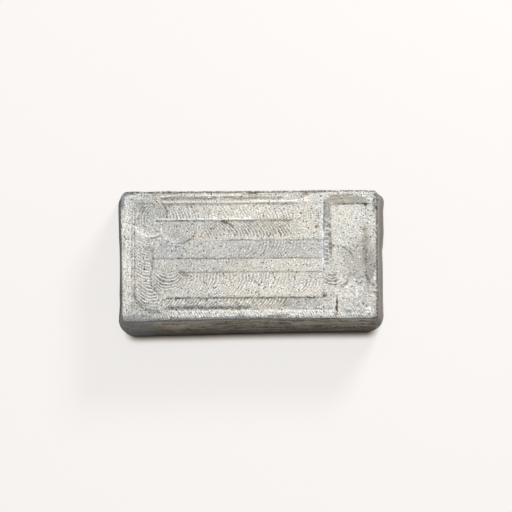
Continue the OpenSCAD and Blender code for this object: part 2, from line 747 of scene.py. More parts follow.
@dataclass(frozen=True)
class BrickShell:
    """The plain casting as one closed mesh: a fine grid on its face, and coarser rings below."""

    length: float
    width: float
    height: float
    draft_degrees: float = 4.5
    corner_radius: float = 12.7 * MM
    face_edge_radius: float = 1.2 * MM
    base_edge_radius: float = 1.2 * MM
    # How far from the face's edge its wear reaches
    edge_reach: float = 1.7 * MM
    # How much wider the front is at the left end than at its middle, as a share of half the width
    face_skew_share: float = 0.008
    base_skew_share: float = 0.021
    # How square each upright corner is at the face and at the base, as the power of its oval: 2 is round
    corner_powers: tuple[tuple[int, int, float, float], ...] = (
        (1, 1, 4.0, 5.0),
        (1, -1, 8.0, 1.5),
        (-1, 1, 3.0, 5.0),
        (-1, -1, 6.0, 1.6),
    )
    # How far each end stands out at the face and at the base, in millimetres, at places across it that are
    # shares of half the width
    end_places: tuple[float, ...] = (-1.0, -0.85, -0.55, 0.0, 0.2, 0.3, 0.5, 0.75, 0.88, 1.0)
    left_face: tuple[float, ...] = (-1.0, -1.0, -1.1, -0.6, -0.5, -0.4, -0.1, 0.0, 0.0, 0.0)
    left_base: tuple[float, ...] = (1.0, 0.9, -0.1, 0.0, 0.2, 0.4, 0.8, 1.3, 1.4, 1.4)
    right_face: tuple[float, ...] = (0.3, 0.3, 0.6, 0.4, 0.5, 0.5, 0.6, 0.7, 0.5, 0.3)
    right_base: tuple[float, ...] = (0.2, 0.2, -0.3, -0.4, -0.8, -0.1, 0.4, 0.0, 0.8, 0.4)
    # The same for the front and the back, at places along them that are shares of half the length
    long_places: tuple[float, ...] = (-1.0, -0.82, -0.68, -0.34, 0.05, 0.4, 0.8, 1.0)
    front_face: tuple[float, ...] = (2.0, 2.0, 1.2, 0.7, 0.0, 0.4, 0.6, 0.4)
    front_base: tuple[float, ...] = (0.1, 0.4, -0.1, -0.1, -0.5, -0.5, -0.3, 0.1)
    back_face: tuple[float, ...] = (-0.2, -0.2, 0.0, 0.0, 0.0, 0.0, -0.1, -0.1)
    back_base: tuple[float, ...] = (1.6, 1.0, 0.5, 0.0, 0.0, 0.2, 1.4, 2.4)
    # Steps of the face's grid, and rings of its edge, of the sides and of the edge below
    columns: int = 368
    rows: int = 184
    edge_rings: int = 5
    side_rings: int = 33
    base_rings: int = 3

    @property
    def draft(self) -> float:
        """Draft of the sides, in radians."""
        return math.radians(self.draft_degrees)

    @property
    def base_out(self) -> float:
        """Radius of the flat underside about an upright corner's axis."""
        lean = (1.0 + math.sin(self.draft)) / math.cos(self.draft)
        return self.corner_radius - self.base_edge_radius * lean

    @property
    def face_out(self) -> float:
        """Radius of the flat face about an upright corner's axis."""
        run = self.face_edge_radius + math.sin(self.draft) * (self.height - self.face_edge_radius)
        return self.corner_radius - run / math.cos(self.draft)

    @property
    def axis(self) -> tuple[float, float]:
        """Place of an upright corner's axis, from the middle of the brick."""
        inset = self.base_out + self.base_edge_radius
        return self.length / 2.0 - inset, self.width / 2.0 - inset

    def face_points(self) -> np.ndarray:
        """Points of the grid on the face, with its corners rounded.

        Returns:
            Places, as rows by columns by two.
        """
        axis_x, axis_y = self.axis
        xs = np.linspace(-1.0, 1.0, self.columns + 1) * (axis_x + self.face_out)
        ys = np.linspace(-1.0, 1.0, self.rows + 1) * (axis_y + self.face_out)
        x, y = np.meshgrid(xs, ys)
        across = np.clip((np.abs(x) - axis_x) / self.face_out, 0.0, 1.0)
        up = np.clip((np.abs(y) - axis_y) / self.face_out, 0.0, 1.0)
        corner = (across > 0.0) & (up > 0.0)
        round_x = axis_x + self.face_out * across * np.sqrt(1.0 - up**2 / 2.0)
        round_y = axis_y + self.face_out * up * np.sqrt(1.0 - across**2 / 2.0)
        x = np.where(corner, np.sign(x) * round_x, x)
        y = np.where(corner, np.sign(y) * round_y, y)
        return np.stack([x, y], axis=-1)

    def border(self) -> list[tuple[int, int]]:
        """List the grid places round the face's edge.

        Returns:
            Rows and columns, counter-clockwise from the front left.
        """
        front = [(0, column) for column in range(self.columns)]
        right = [(row, self.columns) for row in range(self.rows)]
        back = [(self.rows, column) for column in range(self.columns, 0, -1)]
        left = [(row, 0) for row in range(self.rows, 0, -1)]
        return front + right + back + left

    def profile(self) -> list[tuple[float, float]]:
        """Work out the section of the edge and the side below the flat face.

        Returns:
            Points from the face down to the underside, as distance out and height up.
        """
        points = []
        for step in range(1, self.edge_rings + 1):
            angle = math.pi / 2.0 + (self.draft - math.pi / 2.0) * step / self.edge_rings
            out = self.face_out + self.face_edge_radius * math.cos(angle)
            points.append((out, self.height - self.face_edge_radius * (1.0 - math.sin(angle))))
        top_out, top_up = points[-1]
        low_out = self.base_out + self.base_edge_radius * math.cos(self.draft)
        low_up = self.base_edge_radius * (1.0 + math.sin(self.draft))
        for step in range(1, self.side_rings + 1):
            share = step / self.side_rings
            points.append((top_out + (low_out - top_out) * share, top_up + (low_up - top_up) * share))
        for step in range(1, self.base_rings + 1):
            angle = self.draft - (self.draft + math.pi / 2.0) * step / self.base_rings
            out = self.base_out + self.base_edge_radius * math.cos(angle)
            points.append((out, self.base_edge_radius * (1.0 + math.sin(angle))))
        return points

    def mesh(self, name: str) -> bpy.types.Mesh:
        """Build the closed mesh, with its planed and edge values.

        Args:
            name: The mesh's name.

        Returns:
            The mesh, in metres.
        """
        grid = self.face_points()
        rim = np.array([grid[place] for place in self.border()])
        axis = np.clip(rim, [-self.axis[0], -self.axis[1]], self.axis)
        outward = (rim - axis) / np.linalg.norm(rim - axis, axis=1, keepdims=True)

        flat = grid.reshape(-1, 2)
        points = [np.column_stack([flat, np.full(len(flat), self.height)])]
        past = np.abs(flat) - np.array(self.axis)
        inside = self.face_out - np.linalg.norm(np.maximum(past, 0.0), axis=1)
        inside = inside - np.minimum(past.max(axis=1), 0.0)
        planed = [np.ones(len(flat))]
        edge = [np.exp(-((inside / self.edge_reach) ** 2))]

        wide = self.columns + 1
        index = np.arange(len(flat)).reshape(self.rows + 1, wide)
        quads = np.stack([index[:-1, :-1], index[:-1, 1:], index[1:, 1:], index[1:, :-1]], axis=-1)
        faces = quads.reshape(-1, quads.shape[-1]).tolist()

        loop = [int(index[place]) for place in self.border()]
        stride = 1
        count = len(flat)
        sections = self.profile()
        halving = {self.edge_rings, self.edge_rings + self.side_rings + 1, len(sections) - 1}
        for ring, (out, up) in enumerate(sections):
            stride = stride * 2 if ring in halving else stride
            places = axis[::stride] + outward[::stride] * out
            points.append(np.column_stack([places, np.full(len(places), up)]))
            below = list(range(count, count + len(places)))
            count += len(places)
            faces += stitch(loop, below)
            run = max(ring + 1 - self.edge_rings, 0) * (sections[0][1] - sections[-1][1]) / self.side_rings
            share = min((ring + 1) / self.edge_rings, 1.0)
            planed.append(np.full(len(places), 1.0 - share))
            edge.append(np.full(len(places), math.exp(-((run / self.edge_reach) ** 2))))
            loop = below

        base, base_faces = self.underside(points[-1], loop, count)
        points.append(base)
        faces += base_faces
        planed.append(np.zeros(len(base)))
        edge.append(np.zeros(len(base)))

        made = bpy.data.meshes.new(name)
        made.from_pydata(self.skewed(np.concatenate(points)).tolist(), [], faces)
        for label, parts in ((PLANED, planed), (EDGE, edge)):
            values = made.attributes.new(label, "FLOAT", "POINT")
            values.data.foreach_set("value", np.concatenate(parts).astype(np.float32))
        made.polygons.foreach_set("use_smooth", [True] * len(made.polygons))
        made.validate()
        return made

    def underside(self, ring: np.ndarray, loop: list[int], count: int) -> tuple[np.ndarray, Faces]:
        """Fill the underside with a grid that blends between its four edges.

        Args:
            ring: Points of the lowest ring.
            loop: Vertex numbers of that ring.
            count: How many vertices there are so far.

        Returns:
            The points inside the ring, and the faces.
        """
        shrink = len(self.border()) // len(loop)
        wide, deep = self.columns // shrink, self.rows // shrink
        front_end, right_end, back_end = wide, wide + deep, 2 * wide + deep
        around = np.vstack([ring, ring[:1]])
        front, right = around[: front_end + 1], around[front_end : right_end + 1]
        back, left = around[right_end : back_end + 1][::-1], around[back_end:][::-1]
        u = np.linspace(0.0, 1.0, wide + 1)[None, :, None]
        v = np.linspace(0.0, 1.0, deep + 1)[:, None, None]
        ends = (1 - v) * front[None] + v * back[None] + (1 - u) * left[:, None] + u * right[:, None]
        bend = (1 - v) * ((1 - u) * front[0] + u * front[-1]) + v * ((1 - u) * back[0] + u * back[-1])
        inner = (ends - bend)[1:-1, 1:-1]

        index = np.zeros((deep + 1, wide + 1), int)
        numbers = np.array(loop + loop[:1])
        index[0] = numbers[: front_end + 1]
        index[:, -1] = numbers[front_end : right_end + 1]
        index[-1] = numbers[right_end : back_end + 1][::-1]
        index[:, 0] = numbers[back_end:][::-1]
        index[1:-1, 1:-1] = np.arange(count, count + (wide - 1) * (deep - 1)).reshape(deep - 1, wide - 1)
        quads = np.stack([index[:-1, :-1], index[1:, :-1], index[1:, 1:], index[:-1, 1:]], axis=-1)
        return inner.reshape(-1, inner.shape[-1]), quads.reshape(-1, quads.shape[-1]).tolist()

    def skewed(self, points: np.ndarray) -> np.ndarray:
        """Square the corners, swell the sides, and widen the front half towards the left end.

        Args:
            points: Places on the plain casting.

        Returns:
            The places, moved.
        """
        up = points[:, 2] / self.height
        share = self.base_skew_share + (self.face_skew_share - self.base_skew_share) * up
        along = points[:, 0] / (self.length / 2.0)
        moved = points.copy()
        for side_x, side_y, face_power, base_power in self.corner_powers:
            power = base_power + (face_power - base_power) * up
            out = points[:, :2] - np.array([side_x, side_y]) * self.axis
            inside = (out[:, 0] * side_x > 0.0) & (out[:, 1] * side_y > 0.0)
            reach = np.where(inside, np.linalg.norm(out, axis=1), 1.0)
            shares = np.abs(out) / reach[:, None]
            swell = (shares[:, 0] ** power + shares[:, 1] ** power) ** (-1.0 / power) - 1.0
            swell = np.where(inside, swell * np.minimum(reach / self.face_out, 1.0), 0.0)
            moved[:, :2] += out * swell[:, None]
        moved[:, 1] *= np.where(points[:, 1] < 0.0, 1.0 - share * along, 1.0)
        across = points[:, 1] / (self.width / 2.0)
        sides = (
            (0, -1.0, across, -along, self.end_places, self.left_face, self.left_base),
            (0, 1.0, across, along, self.end_places, self.right_face, self.right_base),
            (1, -1.0, along, -across, self.long_places, self.front_face, self.front_base),
            (1, 1.0, along, across, self.long_places, self.back_face, self.back_base),
        )
        for axis, sign, where, towards, places, face_swell, base_swell in sides:
            base = np.interp(where, places, base_swell)
            face = np.interp(where, places, face_swell)
            outer = np.clip(2.0 * towards - 1.0, 0.0, 1.0)
            moved[:, axis] += sign * (base + (face - base) * up) * outer * MM
        return moved


def stitch(upper: list[int], lower: list[int]) -> Faces:
    """Join two rings with faces that point outwards.

    Args:
        upper: Vertex numbers of the upper ring, counter-clockwise from above.
        lower: Vertex numbers of the lower ring, as many as the upper ring has or half as many.

    Returns:
        The faces.
    """
    total, below = len(upper), len(lower)
    if total == below:
        pairs = [(i, (i + 1) % total) for i in range(total)]
        return [[upper[i], lower[i], lower[j], upper[j]] for i, j in pairs]
    faces = []
    for i in range(below):
        first, middle, last = (upper[(2 * i + step) % total] for step in range(3))
        here, there = lower[i], lower[(i + 1) % below]
        faces += [[first, here, middle], [middle, here, there], [middle, there, last]]
    return faces


# Marks of the planed face, in millimetres from its middle
FLOORS = (
    Floor(low=-42.0, high=40.0, left=-88.0, right=57.0, depth=0.24),
    Floor(low=33.4, high=41.2, left=-89.4, right=-79.6, depth=0.10, stain=0.10),
    Floor(low=-41.6, high=-33.3, left=-70.0, right=61.0, depth=0.20),
    Floor(low=-40.5, high=-34.4, left=26.0, right=55.0, depth=0.02, stain=0.10, chill=0.25),
    Floor(low=-33.3, high=-13.4, left=-66.0, right=60.0, depth=0.04),
    Floor(low=-2.9, high=11.3, left=-74.0, right=57.0, depth=0.10, stain=0.02, chill=0.30),
    Floor(low=11.3, high=26.6, left=-58.0, right=57.0, depth=0.05),
    Floor(low=27.0, high=40.0, left=-64.0, right=56.0, depth=-0.03),
    Floor(low=-8.6, high=30.0, left=57.0, right=62.6, depth=0.05, stain=0.06),
)
HOOKS = (
    Hook(left=56.8, inner=62.0, shelf=38.4, crown=46.3, crown_x=73.6, crown_foot=38.4, front=-8.5,
         right=89.8, depth=0.24, stain=0.20),
)
PASSES = (
    CutterPass(low=28.2, high=39.2, left=-68.0, right=36.0, centre=25.6, radius=15.4, pitch=2.45,
               depth=0.24, stain=0.10),
    CutterPass(low=14.5, high=26.2, left=-32.0, right=32.0, centre=10.4, radius=16.2, pitch=2.55,
               depth=0.30, stain=0.26),
    CutterPass(low=12.0, high=24.0, left=-62.0, right=-34.0, centre=24.0, radius=14.0, pitch=2.1,
               depth=0.14, stain=0.06),
    CutterPass(low=-2.2, high=10.6, left=-6.0, right=46.0, centre=11.1, radius=15.2, pitch=2.6,
               depth=0.18, stain=0.08),
    CutterPass(low=-2.2, high=10.6, left=-62.0, right=6.0, centre=12.6, radius=15.4, pitch=4.2,
               depth=0.10),
    CutterPass(low=-12.8, high=-3.6, left=-52.0, right=58.0, centre=-2.8, radius=13.0, pitch=2.2,
               depth=0.12),
    CutterPass(low=-32.4, high=-14.2, left=-50.0, right=60.0, centre=-14.4, radius=19.4, pitch=2.5,
               depth=0.22, stain=0.06),
    CutterPass(low=-32.6, high=-24.5, left=-58.0, right=-24.0, centre=-38.0, radius=19.0, pitch=2.2,
               depth=0.14),
    CutterPass(low=-41.2, high=-34.0, left=-66.0, right=34.0, centre=-29.0, radius=12.5, pitch=2.6,
               depth=0.30, stain=0.18),
    CutterPass(low=-48.8, high=-43.2, left=-80.0, right=96.0, centre=-53.0, radius=14.0, pitch=2.0,
               depth=0.34, stain=0.10),
    CutterPass(low=-87.0, high=-75.6, left=-6.0, right=26.0, centre=-76.0, radius=13.0, pitch=2.3,
               depth=0.34, stain=0.02, heading=Heading.DOWN),
    CutterPass(low=-84.0, high=-70.0, left=24.0, right=40.0, centre=-72.5, radius=15.0, pitch=2.4,
               depth=0.44, stain=0.20, heading=Heading.DOWN),
    CutterPass(low=-72.0, high=-50.0, left=14.0, right=26.0, centre=-61.2, radius=11.8, pitch=2.5,
               depth=0.52, stain=0.28, heading=Heading.DOWN),
)
RINGS = (
    RingMarks(centre_x=-71.0, centre_y=28.4, inner=6.5, outer=14.5, pitch=2.1, depth=0.31, facing=160.0,
              spread=60.0, stain=0.08),
    RingMarks(centre_x=64.2, centre_y=-12.5, inner=1.0, outer=12.0, pitch=2.4, depth=0.34, facing=262.0,
              spread=48.0, stain=0.30),
)
RIMS = (
    Rim(centre_x=-75.1, centre_y=27.4, radius=12.9, width=0.75, depth=0.15, facing=238.0, spread=70.0),
    Rim(centre_x=-75.1, centre_y=27.4, radius=14.2, width=0.6, depth=-0.12, facing=285.0, spread=34.0,
        stain=0.34),
    Rim(centre_x=-77.0, centre_y=30.5, radius=14.8, width=0.8, depth=-0.16, facing=24.0, spread=36.0,
        stain=0.20),
    Rim(centre_x=-54.0, centre_y=23.5, radius=13.8, width=0.75, depth=0.20, facing=226.0, spread=46.0),
    Rim(centre_x=-60.0, centre_y=-17.5, radius=16.2, width=0.6, depth=0.12, facing=204.0, spread=44.0),
    Rim(centre_x=-60.0, centre_y=-17.5, radius=15.2, width=0.6, depth=-0.14, facing=204.0, spread=50.0,
        stain=0.26),
    Rim(centre_x=63.5, centre_y=-14.5, radius=13.2, width=1.2, depth=-0.16, facing=320.0, spread=40.0,
        stain=0.22),
    Rim(centre_x=-58.5, centre_y=5.2, radius=3.2, width=0.4, depth=-0.20, facing=0.0, spread=50.0,
        stain=0.40),
    Rim(centre_x=-54.0, centre_y=23.5, radius=14.6, width=0.65, depth=-0.16, facing=304.0, spread=42.0,
        stain=0.36),
    Rim(centre_x=66.8, centre_y=-7.0, radius=13.2, width=0.5, depth=-0.17, facing=54.0, spread=44.0,
        stain=0.42),
    Rim(centre_x=-70.5, centre_y=-27.0, radius=16.8, width=1.2, depth=-0.14, facing=225.0, spread=62.0,
        stain=0.20),
    Rim(centre_x=90.7, centre_y=-43.5, radius=1.7, width=0.6, depth=0.40, facing=0.0, spread=180.0),
)
LINES = (
    ScoredLine(level=48.2, left=-80.0, right=60.0, width=0.6, depth=-0.14, stain=0.26),
    ScoredLine(level=45.9, left=-68.0, right=-4.0, width=0.42, depth=0.20),
    ScoredLine(level=43.6, left=-66.0, right=20.0, width=1.2, depth=-0.14, stain=0.24),
    ScoredLine(level=40.7, left=-70.0, right=46.0, width=0.45, depth=0.22),
    ScoredLine(level=41.7, left=0.0, right=46.0, width=0.5, depth=0.18),
    ScoredLine(level=39.2, left=-64.0, right=36.0, width=0.9, depth=-0.12, stain=0.18),
    ScoredLine(level=32.4, left=-90.0, right=-83.0, width=0.5, depth=0.14),
    ScoredLine(level=27.5, left=-71.0, right=4.0, width=0.7, depth=0.28),
    ScoredLine(level=26.4, left=-71.0, right=34.0, width=0.65, depth=-0.16, stain=0.34),
    ScoredLine(level=11.3, left=-18.0, right=57.0, width=0.5, depth=-0.12, stain=0.24),
    ScoredLine(level=-2.8, left=-74.0, right=57.0, width=0.5, depth=-0.14, stain=0.28),
    ScoredLine(level=-13.4, left=-52.0, right=56.0, width=0.5, depth=-0.12, stain=0.24),
    ScoredLine(level=-33.3, left=-64.0, right=57.0, width=0.75, depth=-0.16, stain=0.44),
    ScoredLine(level=-40.6, left=-62.0, right=2.0, width=1.3, depth=-0.10, stain=0.36, chill=0.5),
    ScoredLine(level=-41.8, left=-82.0, right=62.0, width=0.7, depth=-0.08, stain=0.24, chill=0.3),
    ScoredLine(level=-43.6, left=-60.0, right=62.0, width=0.5, depth=0.16),
    ScoredLine(level=-88.9, left=-36.0, right=40.0, width=0.5, depth=-0.12, stain=0.18,
               heading=Heading.DOWN),
    ScoredLine(level=-87.0, left=-34.0, right=40.0, width=0.5, depth=-0.10, stain=0.20,
               heading=Heading.DOWN),
    ScoredLine(level=-73.4, left=-2.0, right=12.0, width=0.6, depth=-0.14, stain=0.24,
               heading=Heading.DOWN),
    ScoredLine(level=55.8, left=-42.0, right=9.0, width=0.5, depth=0.20, chill=1.0, heading=Heading.DOWN),
    ScoredLine(level=57.3, left=-42.0, right=-18.0, width=0.6, depth=-0.12, stain=0.34,
               heading=Heading.DOWN),
    ScoredLine(level=38.8, left=67.0, right=92.0, width=0.7, depth=-0.10, stain=0.55, chill=0.6),
    ScoredLine(level=62.4, left=-22.0, right=6.0, width=0.8, depth=-0.12, stain=0.14,
               heading=Heading.DOWN),
    ScoredLine(level=88.2, left=-22.0, right=8.0, width=2.2, depth=-0.08, stain=0.26,
               heading=Heading.DOWN),
    ScoredLine(level=67.1, left=33.0, right=45.0, width=0.42, depth=-0.5, stain=0.80,
               heading=Heading.DOWN),
)
DENTS = (
    Dent(centre_x=-75.1, centre_y=27.8, half_length=12.6, half_width=12.6, depth=0.16, chill=0.08),
    Dent(centre_x=-78.0, centre_y=34.0, half_length=9.0, half_width=7.0, depth=0.04, stain=0.05,
         chill=0.15),
    Dent(centre_x=-67.2, centre_y=34.0, half_length=4.2, half_width=4.6, depth=0.08, stain=0.10),
    Dent(centre_x=-95.0, centre_y=45.4, half_length=1.9, half_width=2.6, turn=-30.0, depth=0.10,
         chill=1.0),
    Dent(centre_x=-49.5, centre_y=-14.5, half_length=5.0, half_width=1.8, turn=-30.0, depth=0.10,
         stain=0.24),
    Dent(centre_x=-75.7, centre_y=4.7, half_length=4.2, half_width=2.6, depth=0.06, stain=0.16),
    Dent(centre_x=95.4, centre_y=38.0, half_length=1.1, half_width=1.7, depth=0.50, stain=0.40),
    Dent(centre_x=96.6, centre_y=35.2, half_length=1.6, half_width=1.5, depth=0.70, stain=0.50),
    Dent(centre_x=95.2, centre_y=32.8, half_length=1.0, half_width=1.2, depth=0.50, stain=0.40),
    Dent(centre_x=95.2, centre_y=41.5, half_length=1.0, half_width=1.6, depth=0.40, stain=0.45),
    Dent(centre_x=61.2, centre_y=22.0, half_length=1.4, half_width=1.8, depth=0.10, stain=0.34),
    Dent(centre_x=61.4, centre_y=15.4, half_length=1.2, half_width=2.0, depth=0.10, stain=0.36),
    Dent(centre_x=61.8, centre_y=8.0, half_length=1.3, half_width=1.5, depth=0.10, stain=0.36),
    Dent(centre_x=62.2, centre_y=4.8, half_length=1.5, half_width=1.2, depth=0.12, stain=0.40),
    Dent(centre_x=57.6, centre_y=-32.3, half_length=1.9, half_width=0.9, turn=6.0, depth=0.40, stain=0.55),
    Dent(centre_x=56.9, centre_y=-31.0, half_length=1.2, half_width=1.2, turn=30.0, depth=0.30,
         stain=0.40),
    Dent(centre_x=74.4, centre_y=-45.1, half_length=3.8, half_width=2.7, turn=-28.0, depth=0.45,
         stain=0.14, chill=0.6),
    Dent(centre_x=-5.7, centre_y=-48.6, half_length=3.1, half_width=2.4, depth=0.50, stain=0.30,
         chill=0.45),
    Dent(centre_x=21.5, centre_y=-47.6, half_length=8.2, half_width=1.3, depth=0.30, stain=0.50,
         chill=0.35),
    Dent(centre_x=3.0, centre_y=47.4, half_length=4.2, half_width=0.9, depth=0.20, stain=0.40),
    Dent(centre_x=23.5, centre_y=43.9, half_length=2.2, half_width=1.3, depth=0.20, stain=0.32),
    Dent(centre_x=43.0, centre_y=46.6, half_length=2.6, half_width=1.6, depth=0.20, stain=0.30),
    Dent(centre_x=96.2, centre_y=45.4, half_length=0.9, half_width=1.3, depth=0.30, stain=0.60),
    Dent(centre_x=66.3, centre_y=-41.6, half_length=0.9, half_width=2.0, depth=0.40, stain=0.70),
    Dent(centre_x=66.0, centre_y=-46.4, half_length=0.9, half_width=1.5, depth=0.40, stain=0.60),
    Dent(centre_x=88.8, centre_y=37.8, half_length=1.2, half_width=1.0, depth=0.45, stain=0.80),
    Dent(centre_x=51.5, centre_y=21.2, half_length=1.4, half_width=1.3, depth=0.40, stain=0.60),
    Dent(centre_x=51.1, centre_y=25.5, half_length=0.7, half_width=0.6, depth=0.25, stain=0.50),
    Dent(centre_x=39.0, centre_y=28.0, half_length=0.7, half_width=0.6, depth=0.25, stain=0.60),
    Dent(centre_x=64.4, centre_y=6.2, half_length=0.7, half_width=0.8, depth=0.30, stain=0.65),
    Dent(centre_x=82.7, centre_y=6.2, half_length=0.6, half_width=0.7, depth=0.30, stain=0.60),
    Dent(centre_x=90.3, centre_y=23.6, half_length=0.7, half_width=0.8, depth=0.30, stain=0.55),
    Dent(centre_x=-18.6, centre_y=25.4, half_length=3.2, half_width=1.3, turn=-20.0, depth=0.20,
         stain=0.46),
    Dent(centre_x=-13.4, centre_y=22.6, half_length=2.6, half_width=1.1, turn=-36.0, depth=0.16,
         stain=0.36),
    Dent(centre_x=-28.7, centre_y=20.1, half_length=0.8, half_width=0.8, depth=0.20, stain=0.50),
    Dent(centre_x=90.4, centre_y=-19.0, half_length=4.4, half_width=1.4, turn=-62.0, depth=0.24,
         stain=0.34),
)
CHAINS = (
    LoopChain(middle=59.2, first=29.0, last=-9.0, step=3.2, half_length=2.2, half_width=1.45,
              width=0.42, depth=0.40, chill=0.9),
)
# Broad patches where the face is duller, or brighter where their darkening is negative
TARNISH = (
    Dent(centre_x=-14.0, centre_y=34.0, half_length=52.0, half_width=6.0, depth=0.0, stain=-0.10),
    Dent(centre_x=-93.0, centre_y=-2.0, half_length=4.6, half_width=38.0, depth=0.0, stain=-0.16),
    Dent(centre_x=10.0, centre_y=-46.0, half_length=70.0, half_width=3.4, depth=0.0, stain=-0.10),
    Dent(centre_x=42.0, centre_y=-45.4, half_length=38.0, half_width=2.4, depth=0.0, stain=-0.14),
    Dent(centre_x=14.0, centre_y=-27.0, half_length=46.0, half_width=5.5, depth=0.0, stain=-0.10),
    Dent(centre_x=76.0, centre_y=21.0, half_length=14.0, half_width=17.0, depth=0.0, stain=-0.06),
    Dent(centre_x=76.0, centre_y=-28.0, half_length=9.0, half_width=10.0, depth=0.0, stain=-0.16),
    Dent(centre_x=-58.0, centre_y=33.0, half_length=28.0, half_width=20.0, depth=0.0, stain=0.08),
    Dent(centre_x=-40.0, centre_y=-1.0, half_length=44.0, half_width=16.0, depth=0.0, stain=0.06),
    Dent(centre_x=30.0, centre_y=4.5, half_length=32.0, half_width=8.0, depth=0.0, stain=0.05),
    Dent(centre_x=85.0, centre_y=-4.0, half_length=14.0, half_width=17.0, depth=0.0, stain=0.15),
    Dent(centre_x=84.0, centre_y=-33.0, half_length=14.0, half_width=16.0, depth=0.0, stain=0.05),
    Dent(centre_x=92.0, centre_y=-14.0, half_length=4.0, half_width=15.0, depth=0.0, stain=0.14),
    Dent(centre_x=-82.0, centre_y=-44.0, half_length=18.0, half_width=7.0, depth=0.0, stain=0.08,
         chill=0.22),
)


@dataclass(frozen=True)
class FaceRelief:
    """What the marks and the grain of the planed face add up to."""

    height: Field
    fine: Field
    stain: Field
    chill: Field
    calm: Field


